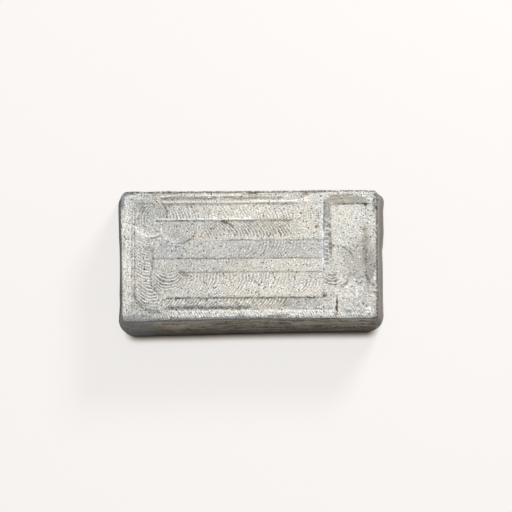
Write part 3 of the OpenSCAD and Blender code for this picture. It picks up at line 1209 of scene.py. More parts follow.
@dataclass(frozen=True)
class Relief:
    """Surface of the brick: cutter marks on its planed face, and the rough skin of the casting."""

    marks: tuple[Mark, ...]
    grain_depth: float = 0.18
    skin_depth: float = 0.30
    edge_wear: float = 0.45
    seed: float = 4.0
    # How far apart the places lie that two seeds read the noise from, in millimetres
    seed_step: float = 71.0
    # Unsteadiness of the arcs, in steps of the cutter, and of the lines, in millimetres
    waver: Speckle = Speckle(size=9.0, gain=0.75)
    shiver: Speckle = Speckle(size=2.3, gain=0.36)
    stray: Speckle = Speckle(size=8.0, gain=0.50)
    tremor: Speckle = Speckle(size=1.5, gain=0.60)
    # How arcs fade out in patches and lines are torn, and the usual and least share left of them
    patch: Speckle = Speckle(size=11.0, gain=0.9, octaves=1.0)
    gap: Speckle = Speckle(size=1.8, gain=1.5)
    arc_share: float = 0.9
    arc_least: float = 0.15
    tear: Speckle = Speckle(size=1.4, gain=1.5)
    fade: Speckle = Speckle(size=15.0, gain=0.6)
    line_share: float = 0.85
    line_least: float = 0.1
    # Grain of the planed metal, streaks of its back border, drag marks of its left border, crumpled metal
    grain: Speckle = Speckle(size=1.0, octaves=0.0)
    pebble: Speckle = Speckle(size=2.0, gain=0.48, octaves=2.0, roughness=0.6)
    streak: Speckle = Speckle(size=1.2, gain=1.1, octaves=1.0, stretch=(0.16, 1.0, 1.0))
    drag: Speckle = Speckle(size=1.2, gain=1.0, octaves=1.0, stretch=(1.0, 0.22, 1.0))
    crumple: Speckle = Speckle(size=2.4, gain=1.6, octaves=2.0)
    # Where the borders and the land start, in millimetres, and the share of streaks outside their border
    back_border: Ramp = (39.5, 42.5)
    left_border: Ramp = (-87.5, -90.0)
    land_start: Ramp = (61.0, 65.0)
    streak_share: float = 0.1
    # How crumpled the land is, and where the front of the land and of the face is torn
    land_crumple: float = 0.12
    torn_crumple: float = 0.9
    land_torn: Ramp = (-4.0, -18.0)
    front_torn: Ramp = (-33.0, -35.0)
    # Low end, high end and softness of the quieter middle, across and along the face
    quiet_rows: Triple = (-31.0, 10.0, 2.0)
    quiet_run: Triple = (-60.0, 56.0, 4.0)
    # How much of their grain the quieter middle and the hooked pass lose
    quiet_loss: float = 0.25
    calm_loss: float = 0.25
    # Cast skin of the sides, in shares of its depth, and the height over which it starts above the base
    wave: Speckle = Speckle(size=55.0, gain=2.2, octaves=1.0)
    lump: Speckle = Speckle(size=6.0, gain=1.1)
    laps: Speckle = Speckle(size=5.0, gain=0.6, stretch=(0.15, 0.15, 1.0))
    skin_foot: Ramp = (0.3, 2.5)
    # Chips along the face's edge, which is more worn at the right end
    chip: Speckle = Speckle(size=2.6, gain=0.5, octaves=3.0)
    dint: Speckle = Speckle(size=9.0, gain=0.8, octaves=1.0)
    worn_end: Ramp = (88.0, 95.0)
    worn_gain: float = 1.3

    def settings(self) -> dict[str, float]:
        """Values of the tree's inputs, by name."""
        values = (self.grain_depth, self.skin_depth, self.edge_wear, self.seed)
        return dict(zip(("Grain Depth", "Skin Depth", "Edge Wear", "Seed"), values))

    def tree(self, material: bpy.types.Material) -> bpy.types.NodeTree:
        """Build the tree that carves the brick.

        Args:
            material: The finish that the result gets.

        Returns:
            The tree, with the depths and the seed as its inputs.
        """
        solid = "NodeSocketGeometry"
        inputs = {"Brick": solid} | {label: "NodeSocketFloat" for label in self.settings()}
        sheet = new_group("Brick Relief", "GeometryNodeTree", inputs, {"Brick": solid})
        canvas, given = sheet.canvas, sheet.inputs

        position = canvas.use("GeometryNodeInputPosition", {})
        place = canvas.stretch(position, PER_MM, PER_MM, PER_MM)
        x, y, z = canvas.split(place)
        drift = canvas.shift(place, canvas.vector(given["Seed"] * self.seed_step, 0.0, 0.0))
        planed, edge = canvas.carried(PLANED), canvas.carried(EDGE)

        face = self.face(canvas, x, y, drift, given["Grain Depth"])
        skin = self.skin(canvas, drift, given["Skin Depth"], z)
        wear = given["Edge Wear"] * (canvas.smooth(x, *self.worn_end) * self.worn_gain + 1.0)
        chips = (self.chip.read(canvas, drift) + self.dint.read(canvas, drift)) * edge * wear
        total = face.height * planed + skin * (1.0 - planed) + chips
        normal = canvas.use("GeometryNodeInputNormal", {})
        push = canvas.use("ShaderNodeVectorMath", {0: normal, "Scale": total * MM}, operation="SCALE")

        brick = given["Brick"]
        kept = {
            RELIEF: face.fine * planed + skin * (1.0 - planed),
            STAIN_AND_SHADE: face.stain * planed,
            CHILL: face.chill * planed,
            CALM: face.calm,
        }
        for name, value in kept.items():
            stored = {"Geometry": brick, "Name": name, "Value": value}
            brick = canvas.use("GeometryNodeStoreNamedAttribute", stored, data_type="FLOAT", domain="POINT")
        brick = canvas.use("GeometryNodeSetPosition", {"Geometry": brick, "Offset": push})
        brick = canvas.use("GeometryNodeRealizeInstances", {"Geometry": brick})
        brick = canvas.use("GeometryNodeSetMaterial", {"Geometry": brick, "Material": material})
        sheet.put("Brick", brick)
        return canvas.tree

    def face(self, canvas: Canvas, x: Field, y: Field, at: Field, grain_depth: Field) -> FaceRelief:
        """Add up the marks of the planed face and its grain.

        Args:
            canvas: Where the nodes go.
            x: Place along the length.
            y: Place across the width.
            at: Place that the noise is read from.
            grain_depth: Depth of the grain.

        Returns:
            The sums.
        """
        arc_waver = self.waver.read(canvas, at) + self.shiver.read(canvas, at)
        line_waver = self.stray.read(canvas, at) + self.tremor.read(canvas, at)
        arc_share = self.patch.read(canvas, at) + self.gap.read(canvas, at) + self.arc_share
        arc_share = canvas.most(arc_share, self.arc_least)
        line_share = self.tear.read(canvas, at) + self.fade.read(canvas, at) + self.line_share
        line_share = canvas.most(line_share, self.line_least)
        nothing = x * 0.0
        broad = fine = stain = chill = calm = nothing
        for mark in self.marks:
            arcs = isinstance(mark, CutterPass | RingMarks)
            height, mask = mark.carve(canvas, x, y, arc_waver if arcs else line_waver)
            if isinstance(mark, Floor | Hook | Dent):
                broad = broad + height
            else:
                share = arc_share if arcs else line_share
                fine, mask = fine + height * share, mask * share
            if isinstance(mark, Hook):
                calm = calm + mask
            # Darkening of the marks: real stains in pits and dents, painted shade in grooves and under
            # ridges
            if mark.stain:
                stain = stain + mask * mark.stain
            if mark.chill:
                chill = chill + mask * mark.chill
        grain = self.rough_grain(canvas, x, y, at)
        quiet = canvas.span(y, *self.quiet_rows) * canvas.span(x, *self.quiet_run)
        fine = fine + grain * grain_depth * (1.0 - calm * self.calm_loss - quiet * self.quiet_loss)
        return FaceRelief(broad + fine, fine, stain, chill, calm)

    def rough_grain(self, canvas: Canvas, x: Field, y: Field, at: Field) -> Field:
        """Add up the grain of the planed metal, which is coarser on its borders and its land.

        Args:
            canvas: Where the nodes go.
            x: Place along the length.
            y: Place across the width.
            at: Place that the noise is read from.

        Returns:
            The grain, in shares of its depth.
        """
        back = canvas.smooth(y, *self.back_border)
        left = canvas.smooth(x, *self.left_border)
        land = canvas.smooth(x, *self.land_start)
        torn = canvas.most(canvas.smooth(y, *self.land_torn) * land, canvas.smooth(y, *self.front_torn))
        grain = self.grain.read(canvas, at) + self.pebble.read(canvas, at)
        grain = grain + self.streak.read(canvas, at) * (back + self.streak_share)
        grain = grain + self.drag.read(canvas, at) * left
        return grain + self.crumple.read(canvas, at) * (land * self.land_crumple + torn * self.torn_crumple)

    def skin(self, canvas: Canvas, at: Field, depth: Field, z: Field) -> Field:
        """Height of the cast skin: long waves, lumps, and laps that run round the brick."""
        rough = self.wave.read(canvas, at) + self.lump.read(canvas, at) + self.laps.read(canvas, at)
        return rough * depth * canvas.smooth(z, *self.skin_foot)


@dataclass(frozen=True)
class Pins:
    """Small holes or flecks over a surface: how far apart, how big, and what share of them shows."""

    spacing: float
    size: float
    share: float

    def mask(self, canvas: Canvas, at: Field) -> Field:
        """Mask of the holes, in a material, at a place in millimetres."""
        values = {"Place": at, "Spacing": self.spacing, "Size": self.size, "Share": self.share}
        return canvas.place(pinholes(), values)["Mask"]


# Scale of the noise that bends the field of holes
PIN_BEND = 1.1
# Least share of its size that a hole has, what its draw adds to that, and its soft edge in millimetres
PIN_LEAST = 0.45
PIN_SPREAD = 0.9
PIN_SOFT = 0.18


def pinholes() -> bpy.types.NodeTree:
    """Shader group for small holes scattered over a surface, shared by the planed face and the cast skin.

    Returns:
        The group's tree.
    """
    name = "Pinholes"
    known = bpy.data.node_groups.get(name)
    if known is not None:
        return known
    number = "NodeSocketFloat"
    inputs = {"Place": "NodeSocketVector", "Spacing": number, "Size": number, "Share": number}
    sheet = new_group(name, "ShaderNodeTree", inputs, {"Mask": number})
    canvas, given = sheet.canvas, sheet.inputs
    cells = canvas.node("ShaderNodeTexVoronoi")
    bent = canvas.use("ShaderNodeTexNoise", {"Vector": given["Place"], "Scale": PIN_BEND}, "Color")
    canvas.feed(cells.inputs["Vector"], canvas.shift(given["Place"], bent))
    canvas.feed(cells.inputs["Scale"], canvas.math("DIVIDE", 1.0, given["Spacing"]))
    away = Field(canvas, cells.outputs["Distance"]) * given["Spacing"]
    draw, swell, _ = canvas.split(Field(canvas, cells.outputs["Color"]))
    size = given["Size"] * (swell * PIN_SPREAD + PIN_LEAST)
    hole = canvas.smooth(away - size, PIN_SOFT, -PIN_SOFT)
    kept = canvas.math("LESS_THAN", draw, given["Share"])
    sheet.put("Mask", hole * kept)
    return canvas.tree


# Colours that more than one part of the finish uses
SKIN = srgb(146, 138, 125)
# Soot-dark colour for real dirt and pits, and for painted shade in the grooves and under ridges
SOOT_AND_SHADE = srgb(64, 58, 48)


@dataclass(frozen=True)
class Look:
    """Colour, roughness and bump height of a surface."""

    colour: Field
    rough: Field
    bump: Field


@dataclass(frozen=True)
class PlanedFinish:
    """Looks of the planed face: a painted highlight on its crests, painted shade with some oxide in its
    grooves, with pits and painted glints.
    """

    # Colours of the painted highlight on the crests, the white also of the painted glints
    bright: Colour = srgb(244, 243, 238)
    frosty: Colour = srgb(238, 241, 240)
    white: Colour = srgb(255, 255, 254)
    ice: Colour = srgb(214, 227, 242)
    pale: Colour = srgb(194, 188, 178)
    cool: Colour = srgb(183, 183, 179)
    slate: Colour = srgb(168, 178, 188)
    speck: Speckle = Speckle(size=0.66, gain=1.6, octaves=1.0, roughness=0.6)
    cloud: Speckle = Speckle(size=16.0, octaves=3.0)
    frost: Speckle = Speckle(size=4.0, octaves=3.0)
    bump: Speckle = Speckle(size=0.65, gain=1.3, octaves=1.0, roughness=0.6)
    pits: Pins = Pins(spacing=1.9, size=0.45, share=0.50)
    glints: Pins = Pins(spacing=1.9, size=0.48, share=0.38)
    glint_shift: Triple = (37.0, 53.0, 0.0)
    # How much of its grain the smooth hooked pass loses, and how far it takes the colour of the skin
    calm_loss: float = 0.35
    calm_skin: float = 0.34
    # Where along the brick the metal is warmest, how far that reaches, and how it holds off the cool grey
    warm_middle: float = 20.0
    warm_reach: float = 70.0
    warm_share: float = 0.5
    cool_lift: float = 0.3
    cool_ramp: Ramp = (-0.35, 0.35)
    # Painted highlight on the crests: shares of speck and of the stains and shade in it, and where it turns
    # frosty, icy and white
    lit_speck: float = 0.24
    lit_stain: float = 0.3
    lit_ramp: Ramp = (-0.10, 0.22)
    frost_ramp: Ramp = (-0.25, 0.25)
    ice_ramp: Ramp = (0.4, 0.8)
    # Painted glints as white specks on the crests, and a painted white highlight on the highest crests
    glint_ramp: Ramp = (-0.12, 0.06)
    highlight_ramp: Ramp = (0.14, 0.32)
    highlight_share: float = 0.7
    # Darkening: painted shade with some oxide in the grooves, stains that are partly painted shade, and
    # pits
    groove_speck: float = 0.18
    groove_ramp: Ramp = (0.04, 0.26)
    groove_share: float = 0.42
    stain_speck: float = 0.9
    pit_share: float = 0.75
    pit_bump: float = 2.0
    darkest: float = 0.9
    roughness: float = 0.65
    speck_roughness: float = 0.12
    dark_roughness: float = 0.25

    def look(self, canvas: Canvas, at: Field, relief: Field) -> Look:
        """Work out the looks of the planed face.

        Args:
            canvas: The material's tree.
            at: Place on the brick, in millimetres.
            relief: Fine height of the face, in millimetres.

        Returns:
            Its colour, roughness and bump height.
        """
        stain, chill, calm = (canvas.carried(name) for name in (STAIN_AND_SHADE, CHILL, CALM))
        busy = 1.0 - calm * self.calm_loss
        speck = self.speck.read(canvas, at) * busy
        pits = self.pits.mask(canvas, at)
        glints = self.glints.mask(canvas, canvas.shift(at, self.glint_shift))

        warm = canvas.bell(canvas.split(at)[0] - self.warm_middle, self.warm_reach)
        cloud = self.cloud.read(canvas, at) - warm * self.warm_share + self.cool_lift
        colour = canvas.mix(canvas.smooth(cloud, *self.cool_ramp), self.pale, self.cool)
        colour = canvas.mix(canvas.least(chill, 1.0), colour, self.slate)
        colour = canvas.mix(calm * self.calm_skin, colour, SKIN)

        # Painted highlight: the higher crests turn to the bright, frosty and icy colours
        lit = relief + speck * self.lit_speck - stain * self.lit_stain
        frost = canvas.smooth(self.frost.read(canvas, at), *self.frost_ramp)
        painted_highlight = canvas.mix(frost, self.bright, self.frosty)
        painted_highlight = canvas.mix(canvas.smooth(chill, *self.ice_ramp), painted_highlight, self.ice)
        colour = canvas.mix(canvas.smooth(lit, *self.lit_ramp), colour, painted_highlight)
        # Painted glints, and a painted white highlight on the highest crests
        glints = glints * busy * canvas.smooth(relief, *self.glint_ramp)
        colour = canvas.mix(glints, colour, self.white)
        colour = canvas.mix(canvas.smooth(relief, *self.highlight_ramp) * self.highlight_share, colour, self.white)

        # Painted shade with some oxide in the grooves, joined with the marks' stains and shade and with the
        # pits
        groove = canvas.smooth(relief * -1.0 - speck * self.groove_speck, *self.groove_ramp)
        dark = canvas.most(stain * (speck * self.stain_speck + 1.0), pits * busy * self.pit_share)
        dark = canvas.least(canvas.most(dark + groove * self.groove_share, 0.0), self.darkest)
        colour = canvas.mix(dark, colour, SOOT_AND_SHADE)
        rough = speck * self.speck_roughness + dark * self.dark_roughness + self.roughness
        return Look(colour, rough, (self.bump.read(canvas, at) - pits * self.pit_bump) * busy)


@dataclass(frozen=True)
class CastSkin:
    """Looks of the cast sides: brown-grey and blotched in front, with painted shade towards the bottom,
    greyer at the back and the ends.
    """

    pale: Colour = srgb(180, 173, 159)
    # Dark brown for dark blotches and for the painted shade towards the bottom
    dark: Colour = srgb(56, 48, 36)
    # Near black for the painted contact shade along the bottom
    black: Colour = srgb(18, 14, 8)
    # Dark slate of the left end: partly its bluish tone, partly painted shade
    shaded_end_slate: Colour = srgb(70, 76, 83)
    end_grey: Colour = srgb(134, 132, 127)
    end_dark: Colour = srgb(88, 86, 81)
    scratched: Colour = srgb(184, 187, 189)
    blotch: Speckle = Speckle(size=7.0, octaves=3.0)
    speck: Speckle = Speckle(size=1.6, octaves=2.0, roughness=0.6)
    cloud: Speckle = Speckle(size=24.0, octaves=2.0)
    smear: Speckle = Speckle(size=4.5, octaves=3.0, roughness=0.6, stretch=(0.22, 0.22, 1.0))
    tide: Speckle = Speckle(size=15.0, octaves=2.0, stretch=(0.2, 0.2, 1.0))
    scratch: Speckle = Speckle(size=8.0, octaves=1.0, stretch=(1.0, 1.0, 0.5))
    scratch_gap: Speckle = Speckle(size=5.0, octaves=1.0)
    bump: Speckle = Speckle(size=0.8, gain=1.4, octaves=3.0, roughness=0.6)
    pits: Pins = Pins(spacing=6.0, size=0.6, share=0.35)
    # Where each side starts, in millimetres
    right_side: Ramp = (95.0, 97.0)
    front_side: Ramp = (0.0, -30.0)
    back_side: Ramp = (-10.0, 40.0)
    left_side: Ramp = (-88.0, -98.0)
    left_front: Ramp = (-52.0, -40.0)
    # Pale and dark blotches, as shares of blotch, speck, smear and tide
    pale_shares: tuple[float, ...] = (0.5, 0.5, 0.9, 0.4)
    pale_ramp: Ramp = (-0.4, 0.5)
    dark_shares: tuple[float, ...] = (0.6, 0.9, 0.8, 0.3)
    dark_ramp: Ramp = (0.15, -0.6)
    dark_share: float = 0.75
    darkest: float = 0.95
    # How the sides darken downwards, as painted shade with some grime, how ragged that is in millimetres,
    # and towards the right of the front
    low_cloud: float = 9.0
    low_smear: float = 8.0
    low_ramp: Ramp = (46.0, 0.0)
    low_right_loss: float = 0.6
    low_front: float = 0.45
    low_share: float = 0.45
    dusk_ramp: Ramp = (-30.0, 40.0)
    dusk_share: float = 0.08
    # Pale burr below the front edge of the face
    burr_height: float = 45.0
    burr_width: float = 2.4
    burr_blotch: float = 2.0
    burr_speck: float = 0.5
    burr_ramp: Ramp = (-0.25, 0.35)
    burr_share: float = 0.6
    # Painted contact shade: a near-black band along the bottom of the sides
    foot_blotch: float = 3.0
    foot_ramp: Ramp = (8.0, 1.5)
    foot_front: float = 0.55
    foot_share: float = 0.4
    # Grey of the right end and the back, with darker shades in it, and dark slate of the left end, partly
    # its bluish tone and partly painted shade
    back_grey: float = 0.85
    grey_smear: float = 0.4
    grey_share: float = 0.75
    shade_smear: float = 0.8
    shade_speck: float = 0.3
    shade_ramp: Ramp = (0.25, -0.55)
    shade_right: float = 0.8
    shade_back: float = 0.35
    back_dark: float = 0.4
    slate_blotch: float = 0.3
    slate_share: float = 0.7
    # Pits, and bright scratches on the upper right of the front
    pit_share: float = 0.7
    pit_bump: float = 2.0
    scratch_width: float = 0.04
    scratch_gaps: Ramp = (0.16, 0.34)
    scratch_right: Ramp = (-10.0, 20.0)
    scratch_up: Ramp = (8.0, 20.0)
    scratch_share: float = 0.85
    roughness: float = 0.62
    speck_roughness: float = 0.1

    def look(self, canvas: Canvas, at: Field, relief: Field) -> Look:
        """Work out the looks of the cast skin.

        Args:
            canvas: The material's tree.
            at: Place on the brick, in millimetres.
            relief: Height of the skin, in millimetres.

        Returns:
            Its colour, roughness and bump height.
        """
        x, y, height = canvas.split(at)
        layers = [layer.read(canvas, at) for layer in (self.blotch, self.speck, self.smear, self.tide)]
        blotch, speck, smear, tide = layers
        right = canvas.smooth(x, *self.right_side)
        front = canvas.smooth(y, *self.front_side)
        back = canvas.smooth(y, *self.back_side) * (1.0 - right)

        pale = canvas.smooth(weighed(layers, self.pale_shares) + relief, *self.pale_ramp)
        colour = canvas.mix(pale, SKIN, self.pale)
        # Painted shade with some grime: the sides darken towards the bottom
        ragged = height + self.cloud.read(canvas, at) * self.low_cloud + smear * self.low_smear
        low = canvas.smooth(ragged, *self.low_ramp)
        low = low * (1.0 - right * self.low_right_loss) * (front * self.low_front + self.low_share)
        dark = canvas.smooth(weighed(layers, self.dark_shares), *self.dark_ramp) * self.dark_share
        dusk = canvas.smooth(x, *self.dusk_ramp) * front * self.dusk_share
        colour = canvas.mix(canvas.least(dark + low + dusk, self.darkest), colour, self.dark)

        burr = canvas.bell(height - self.burr_height + blotch * self.burr_blotch, self.burr_width)
        burr = burr * canvas.smooth(smear + speck * self.burr_speck, *self.burr_ramp)
        colour = canvas.mix(burr * front * self.burr_share, colour, self.pale)
        # Painted contact shade: near black along the bottom of the sides
        foot_shade = canvas.smooth(height + blotch * self.foot_blotch, *self.foot_ramp)
        colour = canvas.mix(foot_shade * (front * self.foot_front + self.foot_share), colour, self.black)

        grey = canvas.most(right, back * self.back_grey)
        colour = canvas.mix(grey * (smear * self.grey_smear + self.grey_share), colour, self.end_grey)
        shade = canvas.smooth(tide + smear * self.shade_smear + speck * self.shade_speck, *self.shade_ramp)
        shade = shade * (right * self.shade_right + back * self.shade_back) + back * self.back_dark
        colour = canvas.mix(shade, colour, self.end_dark)
        # Dark slate on the left end: partly its bluish tone, partly painted shade
        left = canvas.smooth(x, *self.left_side) * canvas.smooth(y, *self.left_front)
        colour = canvas.mix(left * (blotch * self.slate_blotch + self.slate_share), colour, self.shaded_end_slate)

        pits = self.pits.mask(canvas, at)
        colour = canvas.mix(pits * self.pit_share, colour, SOOT_AND_SHADE)
        line = canvas.bell(self.scratch.read(canvas, at), self.scratch_width)
        line = line * canvas.smooth(self.scratch_gap.read(canvas, at), *self.scratch_gaps)
        line = line * canvas.smooth(x, *self.scratch_right)
        line = line * front * canvas.smooth(height, *self.scratch_up)
        colour = canvas.mix(line * self.scratch_share, colour, self.scratched)
        rough = speck * self.speck_roughness + self.roughness
        return Look(colour, rough, self.bump.read(canvas, at) - pits * self.pit_bump)


def weighed(layers: list[Field], shares: tuple[float, ...]) -> Field:
    """Add up layers by their shares.

    Args:
        layers: The layers.
        shares: The share of each of them.

    Returns:
        The sum.
    """
    total = layers[0] * shares[0]
    for layer, share in zip(layers[1:], shares[1:]):
        total = total + layer * share
    return total


@dataclass(frozen=True)
class WornEdge:
    """Looks of the edge round the planed face: its ragged border, a slate band and grime."""

    slate: Colour = srgb(120, 125, 128)
    ragged: Speckle = Speckle(size=2.2, gain=0.6)
    chipped: Speckle = Speckle(size=1.8, octaves=2.0)
    # Border of the face, which draws back in front and is more ragged at the right end
    front_stray: float = 2.0
    front_ramp: Ramp = (-46.4, -47.8)
    front_loss: float = 0.3
    end_ramp: Ramp = (92.0, 95.0)
    end_ragged: float = 0.6
    face_ramp: Ramp = (0.15, 0.40)
    # Slate band along the front and round the back left corner, stronger towards the left
    corner_ramp: Ramp = (128.0, 136.0)
    band_ragged: float = 1.3
    band_ramp: Ramp = (0.25, 0.9)
    band_left: Ramp = (20.0, -10.0)
    band_gain: float = 0.4
    band_share: float = 0.4
    # Worn slate on the front left of the face
    worn_stray: float = 4.0
    worn_front: Ramp = (-44.6, -47.6)
    worn_left: Ramp = (-64.0, -84.0)
    worn_share: float = 0.5
    # Grime along the back, in the chips at the right and on the lip of the right end
    back_stray: float = 0.8
    back_ramp: Ramp = (47.4, 48.4)
    back_gaps: Ramp = (-0.25, 0.2)
    right_ramp: Ramp = (90.5, 96.0)
    right_gaps: Ramp = (0.12, 0.40)
    lip_ramp: Ramp = (96.0, 97.2)
    lip_chips: float = 0.8
    lip_edge: Ramp = (0.55, 1.05)
    grime_share: float = 0.8

    def front(self, canvas: Canvas, at: Field) -> Field:
        """Mask of the front edge of the face."""
        stray = self.ragged.read(canvas, at) * self.front_stray
        return canvas.smooth(canvas.split(at)[1] + stray, *self.front_ramp)

    def border(self, canvas: Canvas, at: Field) -> Field:
        """Tell the planed face from the cast skin, with a ragged border.

        Args:
            canvas: The material's tree.
            at: Place on the brick, in millimetres.

        Returns:
            1 on the face and 0 on the skin.
        """
        planed, edge = canvas.carried(PLANED), canvas.carried(EDGE)
        end = canvas.smooth(canvas.split(at)[0], *self.end_ramp)
        ragged = self.ragged.read(canvas, at) * edge * (end * self.end_ragged + 1.0)
        reach = planed + ragged - self.front(canvas, at) * self.front_loss
        return canvas.smooth(reach, *self.face_ramp)

    def dress(self, canvas: Canvas, at: Field, colour: Field) -> Field:
        """Add the slate band and the grime.

        Args:
            canvas: The material's tree.
            at: Place on the brick, in millimetres.
            colour: Colour of the face and the skin.

        Returns:
            The colour with the band and the grime.
        """
        x, y, _ = canvas.split(at)
        planed, edge = canvas.carried(PLANED), canvas.carried(EDGE)
        ragged, chipped = self.ragged.read(canvas, at), self.chipped.read(canvas, at)
        corner = canvas.smooth(y - x, *self.corner_ramp)
        band = canvas.smooth(edge + ragged * self.band_ragged, *self.band_ramp)
        band = band * (canvas.smooth(x, *self.band_left) * self.band_gain + self.band_share)
        worn = canvas.smooth(y + ragged * self.worn_stray, *self.worn_front)
        worn = worn * canvas.smooth(x, *self.worn_left) * self.worn_share
        band = canvas.most(band * canvas.most(self.front(canvas, at), corner), worn)
        colour = canvas.mix(band, colour, self.slate)

        back = canvas.smooth(y + ragged * self.back_stray, *self.back_ramp)
        back = back * canvas.smooth(ragged, *self.back_gaps) * edge
        right = canvas.smooth(x, *self.right_ramp) * canvas.smooth(chipped, *self.right_gaps) * planed
        lip = canvas.smooth(edge + chipped * self.lip_chips, *self.lip_edge)
        lip = canvas.smooth(x, *self.lip_ramp) * lip
        grime = canvas.most(canvas.most(back, right), lip)
        return canvas.mix(grime * self.grime_share, colour, SOOT_AND_SHADE)


@dataclass(frozen=True)
class LeadFinish:
    """Looks of the lead: bright where it was planed, dark and brown-grey on the cast skin."""

    name: str = "aged_lead"
    planed: PlanedFinish = PlanedFinish()
    skin: CastSkin = CastSkin()
    edge: WornEdge = WornEdge()
    planed_metal: float = 0.20
    skin_metal: float = 0.05
    specular: float = 0.2
    bump_strength: float = 1.0
    bump_depth: float = 0.24 * MM

    def material(self) -> bpy.types.Material:
        """Build the material.

        Returns:
            The material, which reads the place on the brick and the values that its mesh carries.
        """
        made = bpy.data.materials.new(self.name)
        canvas = cleared(made)
        place = canvas.use("ShaderNodeTexCoord", {}, "Object")
        at = canvas.stretch(place, PER_MM, PER_MM, PER_MM)
        relief = canvas.carried(RELIEF)
        face = self.edge.border(canvas, at)
        planed, skin = self.planed.look(canvas, at, relief), self.skin.look(canvas, at, relief)
        colour = self.edge.dress(canvas, at, canvas.mix(face, skin.colour, planed.colour))
        bump = {
            "Strength": self.bump_strength,
            "Distance": self.bump_depth,
            "Height": skin.bump + (planed.bump - skin.bump) * face,
        }
        lead = {
            "Base Color": colour,
            "Roughness": skin.rough + (planed.rough - skin.rough) * face,
            "Metallic": face * (self.planed_metal - self.skin_metal) + self.skin_metal,
            "Specular IOR Level": self.specular,
            "Normal": canvas.use("ShaderNodeBump", bump),
        }
        out = canvas.node("ShaderNodeOutputMaterial")
        canvas.feed(out.inputs["Surface"], canvas.use("ShaderNodeBsdfPrincipled", lead))
        return made


@dataclass(frozen=True)
class LeadBrick:
    """The whole brick: its shell, its relief and its finish."""

    name: str
    shell: BrickShell
    relief: Relief
    finish: LeadFinish

    def build(self) -> bpy.types.Object:
        """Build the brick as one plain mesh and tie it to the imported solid.

        Returns:
            The brick's object.
        """
        made = bpy.data.objects.new(self.name, self.shell.mesh(self.name))
        bpy.context.scene.collection.objects.link(made)
        self.carve(made)
        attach(made, BODY)
        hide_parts(NODE)
        return made

    def carve(self, made: bpy.types.Object) -> None:
        """Run the relief's tree on the shell and keep its result as a plain mesh.

        Args:
            made: The brick's object, which holds the shell.
        """
        tree = self.relief.tree(self.finish.material())
        modifier = made.modifiers.new("relief", "NODES")
        modifier.node_group = tree
        settings = self.relief.settings()
        for item in tree.interface.items_tree:
            if item.in_out == "INPUT" and item.name in settings:
                modifier[item.identifier] = settings[item.name]
        shell = made.data
        evaluated = made.evaluated_get(bpy.context.evaluated_depsgraph_get())
        plain = bpy.data.meshes.new_from_object(evaluated)
        made.modifiers.remove(modifier)
        made.data = plain
        bpy.data.meshes.remove(shell)
        plain.name = self.name


@dataclass(frozen=True)
class Lamp:
    """A square soft light, aimed at the brick."""

    name: str
    azimuth: float
    elevation: float
    distance: float
    size: float
    power: float
    colour: Triple = (1.0, 1.0, 1.0)

    def build(self, target: Vector) -> bpy.types.Object:
        """Add the light.

        Args:
            target: What the light is aimed at.

        Returns:
            The light's object.
        """
        data = bpy.data.lights.new(self.name, "AREA")
        data.shape = "SQUARE"
        data.size = self.size
        data.energy = self.power
        data.color = self.colour
        made = bpy.data.objects.new(self.name, data)
        bpy.context.scene.collection.objects.link(made)
        turn, rise = math.radians(self.azimuth), math.radians(self.elevation)
        away = Vector((math.cos(rise) * math.cos(turn), math.cos(rise) * math.sin(turn), math.sin(rise)))
        made.location = target + away * self.distance
        made.rotation_euler = (-away).to_track_quat("-Z", "Y").to_euler()
        return made


